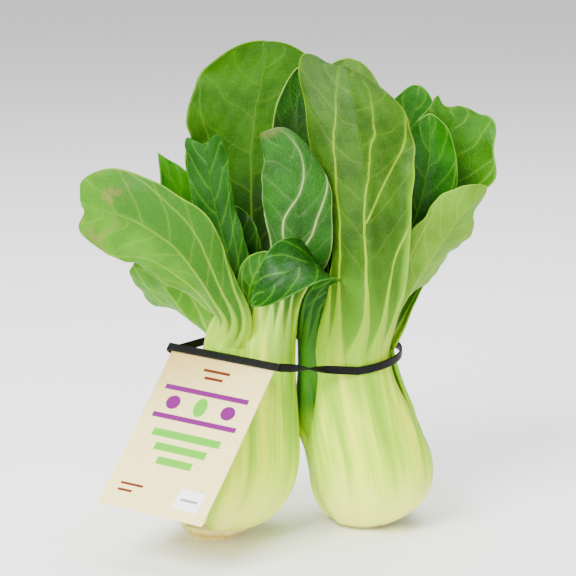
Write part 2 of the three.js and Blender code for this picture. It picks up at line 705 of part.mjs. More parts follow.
const stemShape = (head) => capped(STEM_LEVELS.map((z) => {
  const r = z <= CUT_TALL ? head.foot : curve(head.stem, z);
  return Array.from({ length: STEM_SIDES }, (_, i) =>
    centreOf(head, z).addScaledVector(around((360 * i) / STEM_SIDES), r));
}));

// ---- the card tag, leaning out from the left neck
const TAG_RIGHT = point([-2.8, -31.9, 80.1]); // its top corners and the direction it hangs in
const TAG_LEFT = point([-47.6, -6.9, 82.9]);
const TAG_HANGS = point([-0.416, -0.567, -0.71]);
const tagAcross = TAG_RIGHT.clone().sub(TAG_LEFT).normalize();
const tagDown = TAG_HANGS.clone().addScaledVector(tagAcross, -TAG_HANGS.dot(tagAcross)).normalize();
const tagOut = tagDown.clone().cross(tagAcross).normalize();

// A point of the tag: x from its left edge, y down from its top, z off its printed face.
const onTag = (x, y, z) => TAG_RIGHT.clone()
  .addScaledVector(tagAcross, x - TAG_WIDE)
  .addScaledVector(tagDown, y)
  .addScaledVector(tagOut, z);
const TAG_CORNERS = [[0, 0], [TAG_WIDE, 0], [TAG_WIDE, TAG_LONG], [0, TAG_LONG]];
const tagShape = capped([-TAG_THICK / 2, TAG_THICK / 2].map((z) =>
  TAG_CORNERS.map(([x, y]) => onTag(x, y, z))));

// ---- the strap: one flat band round both necks, folded round the tag's left edge and run along its
// top, with a half turn where it leaves the tag. A station is [point, direction of the band's height].
const STRAP_OFF = TAG_THICK / 2 + CLEARANCE + STRAP_THICK / 2; // off the middle of the tag
const STRAP_DOWN = STRAP_TALL / 2 + 0.4; // below the tag's top edge
const TURN_STEPS = 8;
const TURN_FROM = 0.15; // share of the way where the half turn begins
const TURN_RATE = 1.3;
const TURN_AT = [7.5, -28.4, 77.2]; // where the band is seen edge on
const RIGHT_RING = {
  z: 78, reach: 22.6, squash: 0, from: 8, to: 172, steps: 12,
  rise: [[0, 74.6], [0.5, 78.4], [1, 80]],
};
const LEFT_RING = {
  z: 80, reach: 23.6, squash: 0.16, from: 184, to: 240, steps: 5,
  rise: [[0, 80.6], [1, 80.6]],
};
const FOLD = [
  [-1.2, -STRAP_OFF - 0.5], [-2.2, -STRAP_OFF / 2], [-2.2, STRAP_OFF * 0.6], [-1.2, STRAP_OFF + 0.1],
];
const TAG_STATIONS = [0.6, TAG_WIDE / 4, TAG_WIDE / 2, (TAG_WIDE * 3) / 4, TAG_WIDE, TAG_WIDE + 2];

function neckStations(head, ring) {
  const centre = centreOf(head, ring.z);
  return Array.from({ length: ring.steps + 1 }, (_, k) => {
    const q = k / ring.steps;
    const away = around(THREE.MathUtils.lerp(ring.from, ring.to, q));
    const p = centre.clone().addScaledVector(away, ring.reach * (1 - ring.squash * away.y ** 2));
    p.z = curve(ring.rise, q);
    return [p, UP];
  });
}

function turnStations([leave, leaveUp], [land, landUp]) {
  const run = land.clone().sub(leave).normalize();
  const way = [[0, leave.toArray()], [0.45, TURN_AT], [1, land.toArray()]];
  return Array.from({ length: TURN_STEPS - 1 }, (_, k) => {
    const q = (k + 1) / TURN_STEPS;
    const angle = Math.PI * ease((q - TURN_FROM) * TURN_RATE);
    const height = leaveUp.clone().lerp(landUp, q).normalize().applyAxisAngle(run, angle);
    return [point(curve(way, q)), height];
  });
}

function strapShape() {
  const tagUp = tagDown.clone().negate();
  const stations = [
    ...neckStations(RIGHT_HEAD, RIGHT_RING),
    ...neckStations(LEFT_HEAD, LEFT_RING),
    ...FOLD.map(([x, z]) => [onTag(x, STRAP_DOWN, z), tagUp]),
    ...TAG_STATIONS.map((x) => [onTag(x, STRAP_DOWN, STRAP_OFF), tagUp]),
  ];
  stations.push(...turnStations(stations[stations.length - 1], stations[0]));
  const rings = stations.map(([p, height], k) => {
    const ahead = stations[(k + 1) % stations.length][0];
    const behind = stations.at(k - 1)[0];
    const t = ahead.clone().sub(behind).normalize();
    const h = height.clone().addScaledVector(t, -height.dot(t)).normalize();
    const n = t.clone().cross(h);
    return [[-1, -1], [1, -1], [1, 1], [-1, 1]].map(([a, b]) =>
      p.clone().addScaledVector(n, (a * STRAP_THICK) / 2).addScaledVector(h, (b * STRAP_TALL) / 2));
  });
  // the half turn swaps the section's corners, so the last wall joins corners two places on
  const corners = rings[0].length;
  const triangles = rings.flatMap((_, i) => {
    const last = i === rings.length - 1;
    return wall(i * corners, last ? 0 : (i + 1) * corners, corners, last ? 2 : 0);
  });
  return { points: rings.flat(), triangles };
}

// ---- putting the bunch together
const COLOURS = { leaf: 0x4f8a1e, stem: 0xb9a36a, strap: 0x17181a, tag: 0xe9e2bf };
const SPARE_ROOM = 0.03; // extra clearance a leaf keeps, lost again when its mesh is simplified
const SIMPLIFY = 0.06;
const NOTHING = 1e-3; // volume of a cut that counts as none

const pieces = [];
const heads = [["right", RIGHT_HEAD, RIGHT_LEAVES], ["left", LEFT_HEAD, LEFT_LEAVES]];
for (const [side, plan, leaves] of heads) {
  const head = openHead(plan);
  pieces.push({ name: `${side}_stem`, colour: COLOURS.stem, shape: outwards(stemShape(head)) });
  for (const leaf of leaves) {
    pieces.push({ name: leaf.name, colour: COLOURS.leaf, shape: outwards(slab(leafRows(head, leaf))) });
  }
}

const larger = (a, b) => (b.volume() > a.volume() ? b : a);
const largest = (body) => body.decompose().reduce(larger);

// Where two bodies would touch, the later one is cut back to leave the clearance.
const tied = { strap: outwards(strapShape()), tag: outwards(tagShape) };
const placed = Object.entries(tied).map(([name, shape]) => ({
  name,
  colour: COLOURS[name],
  body: solid(shape),
  room: solid(swollen(shape, CLEARANCE)),
}));
for (const { name, colour, shape } of pieces) {
  let body = solid(shape);
  for (const other of placed) {
    const cut = body.subtract(other.room);
    if (cut.volume() < body.volume() - NOTHING) {
      body = largest(cut);
    }
  }
  const room = solid(swollen(shape, CLEARANCE + SPARE_ROOM));
  placed.push({ name, colour, body: largest(body.simplify(SIMPLIFY)), room });
}

const bunch = new THREE.Group();
bunch.name = "bok_choy_bunch";
for (const { name, colour, body } of placed) {
  const { vertProperties, triVerts, numProp } = body.getMesh();
  const corners = Array.from({ length: vertProperties.length / numProp }, (_, i) =>
    [...vertProperties.subarray(i * numProp, i * numProp + 3)]);
  const geometry = new THREE.BufferGeometry();
  geometry.setAttribute("position", new THREE.Float32BufferAttribute(corners.flat(), 3));
  geometry.translate(-CENTRE_X, -CENTRE_Y, 0);
  geometry.setIndex([...triVerts]);
  geometry.computeVertexNormals();
  const material = new THREE.MeshStandardMaterial({ name, color: colour, side: THREE.FrontSide });
  const mesh = new THREE.Mesh(geometry, material);
  mesh.name = name;
  bunch.add(mesh);
}

export default bunch;
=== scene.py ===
# %% [markdown]
# # Two heads of Shanghai bok choy, bound at the necks
#
# Each head is a rosette: thick pale stalks hug one another into a bulb, and above the neck every stalk
# opens into a thin green blade. One flat strap ties the two necks together and carries a card tag.
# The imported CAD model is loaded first, because it fixes every size and place. The soft, veined pieces
# built below stand exactly where its plain solids stand.

# %% Load the fixed frame
import math

import bpy
import numpy as np
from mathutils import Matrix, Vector


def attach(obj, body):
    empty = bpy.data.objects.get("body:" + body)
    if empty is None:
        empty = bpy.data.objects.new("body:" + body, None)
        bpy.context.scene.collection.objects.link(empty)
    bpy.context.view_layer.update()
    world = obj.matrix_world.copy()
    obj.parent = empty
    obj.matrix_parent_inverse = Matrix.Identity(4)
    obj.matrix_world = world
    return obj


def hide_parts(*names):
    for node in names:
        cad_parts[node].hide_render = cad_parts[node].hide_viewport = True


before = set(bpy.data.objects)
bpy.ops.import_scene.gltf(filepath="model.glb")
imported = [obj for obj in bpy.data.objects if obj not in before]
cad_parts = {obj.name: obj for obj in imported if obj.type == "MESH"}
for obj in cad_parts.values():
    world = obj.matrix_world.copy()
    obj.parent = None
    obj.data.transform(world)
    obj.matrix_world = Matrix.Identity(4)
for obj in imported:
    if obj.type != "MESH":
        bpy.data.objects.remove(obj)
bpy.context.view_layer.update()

bpy.ops.object.select_all(action="DESELECT")

# %% [markdown]
# ## Units and the working frame
#
# All shapes are worked out in millimetres, in the frame that the heads were measured in. The bunch is
# then shifted so that the middle of its outline stands on the origin, as it does in the CAD model.

# %% Units and the working frame
MM = 0.001
CENTRE = np.array([1.83, -18.36, 0.0])  # moved onto the origin when a mesh is made


def metres(points):
    """Points of the working frame (mm) as points of the shared frame (m)."""
    return (np.asarray(points, float) - CENTRE) * MM


# %% [markdown]
# ## Camera
#
# Produce is usually shot with a long lens from a little above table height. A metre away and twelve
# degrees up, the leaves keep their true proportions and the floor still shows under the bulbs.

# %% Camera
CAMERA_AIM = (1.74, 0.0, 106.2)
CAMERA_TILT = math.radians(12)
CAMERA_REACH = 1000.0
CAMERA_LENS = 143.75  # on a 36 mm sensor

aim = Vector(metres(CAMERA_AIM))
back = Vector((0, -math.cos(CAMERA_TILT), math.sin(CAMERA_TILT)))
bpy.ops.object.camera_add(location=aim + back * CAMERA_REACH * MM)
camera = bpy.context.object
camera.name = "camera"
camera.rotation_euler = (-back).to_track_quat("-Z", "Y").to_euler()
camera.data.lens = CAMERA_LENS
camera.data.sensor_width = 36
bpy.context.scene.camera = camera
print("camera at", [round(x, 3) for x in camera.location])

# %% [markdown]
# ## A socket that answers to arithmetic
#
# Procedural finishes are long sums of masks. Wiring Math nodes by hand hides what they mean, so this
# small class wraps a socket: writing `1 - mask` or `a * b` adds the nodes. Everything that isn't
# arithmetic comes from one method, `node`, which sets a node's own settings first and its sockets next.

# %% A socket that answers to arithmetic


class Wire:
    """A node socket with Python arithmetic."""

    def __init__(self, tree, socket=None):
        self.tree, self.socket = tree, socket

    def feed(self, slot, value):
        if isinstance(value, Wire):
            self.tree.links.new(value.socket, slot)
        else:
            slot.default_value = value

    def node(self, kind, settings=None, sockets=None, out=0):
        made = self.tree.nodes.new("ShaderNode" + kind)
        for name, value in (settings or {}).items():
            setattr(made, name, value)
        for name, value in (sockets or {}).items():
            self.feed(made.inputs[name], value)
        return Wire(self.tree, made.outputs[out])

    def maths(self, operation, *values):
        return self.node("Math", {"operation": operation}, dict(enumerate(values)))

    def __add__(self, other):
        return self.maths("ADD", self, other)

    def __radd__(self, other):
        return self.maths("ADD", other, self)

    def __sub__(self, other):
        return self.maths("SUBTRACT", self, other)

    def __rsub__(self, other):
        return self.maths("SUBTRACT", other, self)

    def __mul__(self, other):
        return self.maths("MULTIPLY", self, other)

    def __rmul__(self, other):
        return self.maths("MULTIPLY", other, self)

    def __truediv__(self, other):
        return self.maths("DIVIDE", self, other)

    def __abs__(self):
        return self.maths("ABSOLUTE", self)

    def __pow__(self, power):
        return self.maths("POWER", self, power)

    def least(self, other):
        return self.maths("MINIMUM", self, other)

    def most(self, other):
        return self.maths("MAXIMUM", self, other)

    def part(self):
        """What is left after the whole number."""
        return self.maths("FRACT", self)

    def sine(self):
        return self.maths("SINE", self)

    def ramp(self, low, high, to_low=0.0, to_high=1.0):
        """Soft step: to_low below `low`, to_high above `high`."""
        return self.node(
            "MapRange",
            {"interpolation_type": "SMOOTHSTEP"},
            {"Value": self, "From Min": low, "From Max": high, "To Min": to_low, "To Max": to_high},
        )

    def blend(self, first, second):
        """The first colour where this mask is 0, the second where it is 1."""
        return self.node("Mix", {"data_type": "RGBA"}, {0: self, 6: first, 7: second}, out=2)


def sheen(name, **constants):
    """A new material, its Wire and its Principled shader, with the constant sockets set."""
    material = bpy.data.materials.new(name)
    material.use_nodes = True
    shader = material.node_tree.nodes["Principled BSDF"]
    for socket, value in constants.items():
        shader.inputs[socket.replace("_", " ")].default_value = value
    return material, Wire(material.node_tree), shader


def paint(hexcode):
    """A named paint, written as a screen colour, in the linear values that shaders take."""
    parts = [int(hexcode[i : i + 2], 16) / 255 for i in (0, 2, 4)]
    return (*[p / 12.92 if p <= 0.04045 else ((p + 0.055) / 1.055) ** 2.4 for p in parts], 1.0)


# %% [markdown]
# ## Floor and light
#
# A plain pale sweep and a bright, even sky give the high-key look of a produce catalogue. A large soft
# lamp from above the left shoulder models the bulbs, a second from above separates the leaves, and a weak
# one close to the floor lifts the undersides of the bulbs.

# %% Floor and light
FLOOR_SIZE = 14.0
SKY_STRENGTH = 0.85

bpy.ops.mesh.primitive_plane_add(size=FLOOR_SIZE, location=(0, 0, 0))
floor = bpy.context.object
floor.name = "floor"
floor_finish, wire, shader = sheen("pale_floor", Roughness=0.85, Specular_IOR_Level=0.2)
grain = wire.node("TexNoise", None, {"Scale": 90.0, "Detail": 3.0})
wire.feed(shader.inputs["Base Color"], grain.blend((0.93, 0.93, 0.93, 1), (0.95, 0.95, 0.95, 1)))
floor.data.materials.append(floor_finish)

sky = bpy.data.worlds.new("studio_sky")
bpy.context.scene.world = sky
sky.use_nodes = True
sky.node_tree.nodes["Background"].inputs["Color"].default_value = (1, 1, 1, 1)
sky.node_tree.nodes["Background"].inputs["Strength"].default_value = SKY_STRENGTH


def soft_lamp(name, place, size, watts):
    """A square area lamp that looks at the middle of the bunch."""
    bpy.ops.object.light_add(type="AREA", location=place)
    lamp = bpy.context.object
    lamp.name = name
    lamp.data.size = size
    lamp.data.energy = watts
    lamp.rotation_euler = (Vector((0, 0, 0.1)) - lamp.location).to_track_quat("-Z", "Y").to_euler()


soft_lamp("key_lamp", (-0.55, -0.75, 0.95), size=0.6, watts=34.0)
soft_lamp("top_lamp", (0.1, 0.25, 1.2), size=0.9, watts=24.0)
soft_lamp("low_fill", (-0.05, -0.95, 0.12), size=0.5, watts=6.5)

# %% [markdown]
# ## Smooth curves through a few points
#
# A leaf is described by a handful of given points: where its midrib runs, how wide it is, which way
# it faces. A cubic through those points gives every value in between, and works on plain numbers and
# on points in space alike.

# %% Smooth curves through a few points


def through(knots, x):
    """The smooth curve through (place, value) knots, read at x."""
    places = np.array([k[0] for k in knots], float)
    values = np.array([np.atleast_1d(k[1]) for k in knots], float)
    last = len(knots) - 1
    after = np.minimum(np.arange(last + 1) + 1, last)
    before = np.maximum(np.arange(last + 1) - 1, 0)
    slopes = (values[after] - values[before]) / (places[after] - places[before])[:, None]
    x = np.clip(np.asarray(x, float), places[0], places[-1])
    i = np.clip(np.searchsorted(places, x, side="right") - 1, 0, last - 1)
    span = (places[i + 1] - places[i])[..., None]
    t = (x - places[i])[..., None] / span
    found = (
        (2 * t**3 - 3 * t**2 + 1) * values[i]
        + (t**3 - 2 * t**2 + t) * span * slopes[i]
        + (3 * t**2 - 2 * t**3) * values[i + 1]
        + (t**3 - t**2) * span * slopes[i + 1]
    )
    return found[..., 0] if values.shape[1] == 1 else found


def ease(x):
    """0 below 0, 1 above 1, smooth in between."""
    x = np.clip(x, 0, 1)
    return x * x * (3 - 2 * x)


def around(bearing):
    """Level unit vector at a bearing in degrees: 0 looks to the front, 90 to the right."""
    turn = np.radians(bearing)
    return np.stack([np.sin(turn), -np.cos(turn), np.zeros_like(turn)], -1)


def unit(vector):
    return vector / np.linalg.norm(vector)


# %% [markdown]
# ## How the stalks share the bulb
#
# In a real head each stalk is pressed against those inside and outside it. The bulb is therefore filled
# from the outside in: a leaf takes the outermost room that is still free at its bearing, keeps its own
# thickness, and leaves the rest to the next leaf. The room is a table of radii by bearing and height.

# %% How the stalks share the bulb
BEARING_STEP = 4.0
LEVELS = 29
LAYER_GAP = 1.0  # mm between neighbouring stalks
MARGIN = 1.0  # mm, thickness of a stalk at its edge
CLEAR_OF_STEM = 0.4  # mm between a stalk and the bud core
THINNEST = 0.8  # mm, where layers crowd one another
ELBOW_ROOM = 9  # degrees kept free on both sides of a stalk
SMOOTH_ROUNDS = 14  # how often a radius is evened out with its neighbours
PRESS_FROM = 30  # mm above the floor, where a pressed stalk begins to stand out


class Head:
    """One rosette, with the radius that is still free at every bearing and height."""

    def __init__(self, neck, foot, axis, squash, bulb, stem, depth):
        self.neck, self.foot, self.axis, self.stem, self.depth = neck, foot, axis, stem, depth
        self.bearings = np.arange(0, 360, BEARING_STEP)
        self.z = np.linspace(0, neck, LEVELS)
        flat = through(squash, self.z)[None, :] * np.cos(np.radians(self.bearings))[:, None] ** 2
        self.outline = through(bulb, self.z)[None, :] * (1 - flat)
        self.free = self.outline.copy()

    def middle(self, z):
        return through([(p[2], p) for p in self.axis], z)

    def settle(self, leaf):
        """Outer and inner radius of a leaf's stalk; its room is taken from the leaves inside it."""
        hug = through(leaf["hug"], self.z)[None, :]
        offset = (self.bearings[:, None] - leaf["side"] + 180) % 360 - 180
        share = np.abs(offset / hug)
        wanted = self.outline * (1 - leaf.get("lobe", 0.1) * np.minimum(share, 1.4) ** 2)
        outer = np.minimum(wanted, self.free)
        for _ in range(SMOOTH_ROUNDS):
            spread = (np.roll(outer, 1, 0) + np.roll(outer, -1, 0)) / 2
            outer = np.minimum(self.free, (outer + spread) / 2)
        press = leaf.get("press", 0) * ease((self.z - PRESS_FROM) / PRESS_FROM)
        outer = np.minimum(outer + press, self.free + press / 3)
        deepest = through(self.depth, self.z)[None, :] * leaf.get("thick", 1.0)
        thick = MARGIN + (deepest - MARGIN) * np.clip(1 - share**2.2, 0, 1)
        inner = np.maximum(outer - thick, through(self.stem, self.z)[None, :] + CLEAR_OF_STEM)
        outer = np.maximum(outer, inner + THINNEST)
        taken = (np.abs(offset) <= hug + ELBOW_ROOM) & (self.z[None, :] >= leaf["start"] - 3)
        self.free = np.where(taken, np.minimum(self.free, inner - LAYER_GAP), self.free)
        return outer, inner

    def radius(self, field, bearing, z):
        """A radius table read between its entries."""
        i = (bearing % 360) / BEARING_STEP
        j = z / self.neck * (LEVELS - 1)
        i0 = np.floor(i).astype(int) % len(self.bearings)
        i1 = (i0 + 1) % len(self.bearings)
        j0 = np.clip(np.floor(j).astype(int), 0, LEVELS - 2)
        a, b = i - np.floor(i), j - j0
        low = field[i0, j0] * (1 - a) + field[i1, j0] * a
        high = field[i0, j0 + 1] * (1 - a) + field[i1, j0 + 1] * a
        return low * (1 - b) + high * b


HEADS = {
    "right": Head(
        neck=80,
        foot=12.2,
        axis=[(34.5, 3, 0), (37.4, 2.8, 8), (38.6, 2.5, 17), (38.2, 2.2, 26), (36.7, 2, 35), (34.4, 1.6, 45),
              (32.4, 1.2, 56), (30.3, 0.6, 67), (28.4, 0, 80)],
        squash=[(0, 0), (80, 0)],
        bulb=[(0, 13), (5, 20), (12, 26), (20, 29), (30, 30), (40, 29.3), (50, 27.5), (60, 24.8), (70, 22.2),
              (80, 20.8)],
        stem=[(0, 8), (2, 8.6), (6, 8), (12, 5.6), (18, 3.6), (24, 2), (30, 0.5), (80, 0.5)],
        depth=[(0, 4), (12, 6), (25, 8), (45, 7), (80, 4.6)],
    ),
    "left": Head(
        neck=84,
        foot=11.5,
        axis=[(-31, -15, 0), (-19, -9, 33), (-14.5, -2.2, 84)],
        squash=[(0, 0), (33, 0), (70, 0.15), (84, 0.17)],
        bulb=[(0, 10), (5, 17.4), (6.5, 20.5), (9, 24), (13, 26.6), (18, 27.8), (24, 28), (33, 27.2),
              (45, 25.2), (60, 23.2), (72, 22), (84, 21.6)],
        stem=[(0, 11), (2, 13.8), (5, 16.6), (8, 13.5), (12, 8), (18, 4.8), (24, 2.4), (30, 0.5), (84, 0.5)],
        depth=[(0, 4), (12, 5.5), (25, 7), (45, 5.8), (84, 3.5)],
    ),
}
print("necks (mm):", {name: head.neck for name, head in HEADS.items()})

# %% [markdown]
# ## The leaves
#
# Every leaf has its own entry, outermost first. `side` is the bearing of its stalk round the head,
# `start` the height of its foot and `hug` how far it reaches round (degrees by height). `midrib` holds
# given points from just above the neck to the tip, `back` the way its outer face looks, `wide` its
# half width and `tip` where and how squarely it rounds off. `cup` and `curl` bend it across, `wave` and
# `beat` are the height and count of the ruffles along its margin, `ragged` how uneven its outline is
# and `press` how far, in mm, a stalk stands out beyond its share of the bulb. `thick` scales a stalk's
# thickness and `lobe` draws its outer face in towards both edges. `skew` slides the two margins opposite
# ways along the midrib and `bow` slides them the same way, both in mm. `bulges` are (place along, side,
# spread, size) on the margin, `crown` (place across, spread, mm) at the tip.

# %% The leaves
OUTER_HUG = [(0, 55), (12, 68), (30, 74), (50, 70), (68, 62), (84, 52)]
MIDDLE_HUG = [(0, 45), (12, 55), (30, 60), (50, 56), (68, 50), (84, 44)]
SMALL_HUG = [(0, 40), (30, 48), (60, 44), (84, 38)]
RIGHT_LEAVES = [
    dict(
        name="right_leaf_front", head="right",
        side=5, start=1.5, hug=[(0, 58), (12, 70), (30, 73), (40, 69), (50, 60), (60, 55), (70, 51),
            (80, 54)],
        lobe=0.05,
        midrib=[(33.5, -23, 99.5), (36, -23, 119), (36, -22, 142.5), (33, -18, 165.5),
            (30, -12, 185.5), (26, -3, 203.5)],
        back=[(0.5, (0, -1, 0.05)), (1, (0, -1, 0.1))],
        wide=[(0.12, 19.5), (0.3, 18), (0.46, 19.5), (0.64, 22.5), (0.83, 22.5),
            (1, 20)], tip=(0.83, 3.3),
        cup=[(0, 1.1), (0.3, 0.85), (0.6, 0.6), (1, 0.3)], wave=1.3, beat=(2.2, 0.5),
        curl_left=[(0.1, 0), (0.4, 0.3)],
        curl_right=[(0, 0), (0.2, -0.8), (0.45, -2.6), (0.7, -1.2), (0.85, 0), (1, 0)],
        skew=[(0, 0), (0.5, 0), (0.85, -11), (1, -17)],
        crown=[(-0.9, 0.2, 3), (-0.3, 0.2, -3)],
    ),
    dict(
        name="right_leaf_back", head="right",
        side=175, start=1.5, hug=OUTER_HUG,
        midrib=[(28.5, 26, 95), (28, 38, 125), (27, 42, 156), (27.5, 41, 181), (28.5, 36, 202.5)],
        back=[(0.5, (0, 1, 0)), (1, (0, 1, 0.2))],
        wide=[(0.2, 17), (0.55, 22), (0.8, 20.5), (1, 17)], tip=(0.75, 2.2),
        cup=[(0, 0.9), (0.5, 0.5), (1, 0.3)], wave=2, beat=(2.2, 2),
    ),
    dict(
        name="right_leaf_inner_back", head="right",
        side=160, start=3.5, hug=SMALL_HUG,
        thick=0.8, ragged=2.5,
        midrib=[(39.5, 15, 97.5), (46, 26, 127), (52, 32, 155.5), (56.5, 33, 175), (60.5, 31, 190.5)],
        back=[(0.5, (0.1, 1, 0)), (1, (0.2, 1, 0))],
        wide=[(0.2, 9), (0.6, 17.5), (0.85, 18), (1, 16)], tip=(0.7, 1.8),
        cup=[(0, 0.9), (0.5, 0.5), (1, 0.4)], wave=1.2, beat=(2.5, 1.5),
        crown=[(0.3, 0.2, 1.5)],
    ),
    dict(
        name="right_leaf_back_right", head="right",
        side=128, start=6, hug=MIDDLE_HUG,
        ragged=3.2,
        midrib=[(48.5, 8, 94), (56.5, 14, 114.5), (65, 17, 137.5), (71.5, 18, 159.5), (75, 15, 184.5)],
        back=[(0.5, (0.25, 0.95, -0.2)), (1, (0.1, 0.98, 0))],
        wide=[(0.2, 10), (0.5, 16), (0.75, 19), (1, 18)], tip=(0.78, 2.4),
        cup=[(0, 0.9), (0.5, 0.5), (1, 0.2)], wave=2.4, beat=(2.8, 1),
        bulges=[(0.74, -1, 0.05, 0.2), (0.9, -1, 0.05, 0.12)],
        crown=[(0.5, 0.1, 6), (0.15, 0.15, -1.5), (-0.85, 0.2, 5)],
    ),
    dict(
        name="right_leaf_folded_left", head="right",
        side=-80, start=2.5, hug=[(0, 55), (12, 68), (30, 71), (50, 64), (68, 51), (80, 38)],
        press=3.4,
        midrib=[(8.5, -8, 94), (11, -12, 106.5), (16, -21, 117), (11, -34, 123.5), (2.5, -43, 122),
            (-5.5, -45, 115.5), (-13.5, -43, 108)],
        back=[(0.15, (-0.75, -0.6, 0)), (0.32, (-0.6, -0.3, -0.5)), (0.5, (-0.2, 0.6, -0.8)),
            (1, (0, 0.6, -0.8))],
        wide=[(0.15, 9.5), (0.33, 8.5), (0.5, 10), (0.65, 14), (0.8, 14), (1, 12)], tip=(0.7, 1.6),
        cup=[(0, 0.8), (0.4, 0.6), (1, 0.3)], wave=1, beat=(2, 1),
    ),
    dict(
        name="right_leaf_low_right", head="right",
        side=86, start=9, hug=SMALL_HUG,
        ragged=2.6,
        midrib=[(47.5, -5, 95.5), (55, -8, 109.5), (65.5, -9, 126), (76, -7, 140), (87, -3, 151.5)],
        back=[(0.5, (0.45, -0.8, -0.4)), (1, (0.4, -0.8, -0.4))],
        wide=[(0.2, 12), (0.55, 15), (0.8, 14), (1, 12)], tip=(0.7, 1.8),
        cup=[(0, 0.9), (0.5, 0.7), (1, 0.4)], wave=2, beat=(3, 0),
        bulges=[(0.55, 1, 0.05, 0.15), (0.8, 1, 0.06, 0.15)],
    ),
    dict(
        name="right_leaf_upright_right", head="right",
        side=94, start=28, hug=SMALL_HUG,
        thick=0.75, ragged=2,
        midrib=[(40.5, 4, 94), (49.5, 9, 116), (58.5, 9, 138), (63, 7, 160.5), (63, 4, 182)],
        back=[(0.2, (0.95, 0.25, 0)), (0.5, (0.25, 0.95, -0.1)), (1, (0.2, 0.95, 0.1))],
        wide=[(0.12, 5.5), (0.28, 9), (0.55, 15.5), (0.78, 15.5), (1, 14)], tip=(0.65, 1.7),
        cup=[(0, 0.9), (0.5, 0.6), (1, 0.4)], wave=1.2, beat=(2.5, 0),
        crown=[(-0.6, 0.3, 3), (0.6, 0.3, 3)],
    ),
    dict(
        name="right_leaf_inner_left", head="right",
        side=-140, start=22, hug=MIDDLE_HUG,
        thick=0.75,
        midrib=[(20.5, 14, 98), (15, 18, 124), (12.5, 19, 148.5), (14, 18, 168.5), (16.5, 16, 184)],
        back=[(0.5, (-0.3, 0.9, 0)), (1, (-0.2, 1, 0))],
        wide=[(0.2, 11), (0.6, 16), (0.85, 15), (1, 14)], tip=(0.7, 2),
        cup=[(0, 0.9), (0.5, 0.5), (1, 0.4)], wave=1.2, beat=(2.5, 1.5),
    ),
    dict(
        name="right_leaf_heart", head="right",
        side=-50, start=6, hug=SMALL_HUG,
        thick=0.75,
        midrib=[(19, 4, 100), (12.5, 3, 127), (7.5, 1, 153.5), (5.5, 2, 179.5), (7.5, 4, 202.5)],
        back=[(0.5, (-0.2, 1, 0)), (1, (-0.2, 1, 0))],
        wide=[(0.15, 5), (0.3, 8.5), (0.55, 13), (0.8, 13), (1, 12)], tip=(0.7, 1.8),
        cup=[(0, 0.9), (0.5, 0.5), (1, 0.4)], wave=1, beat=(2, 0),
    ),
]
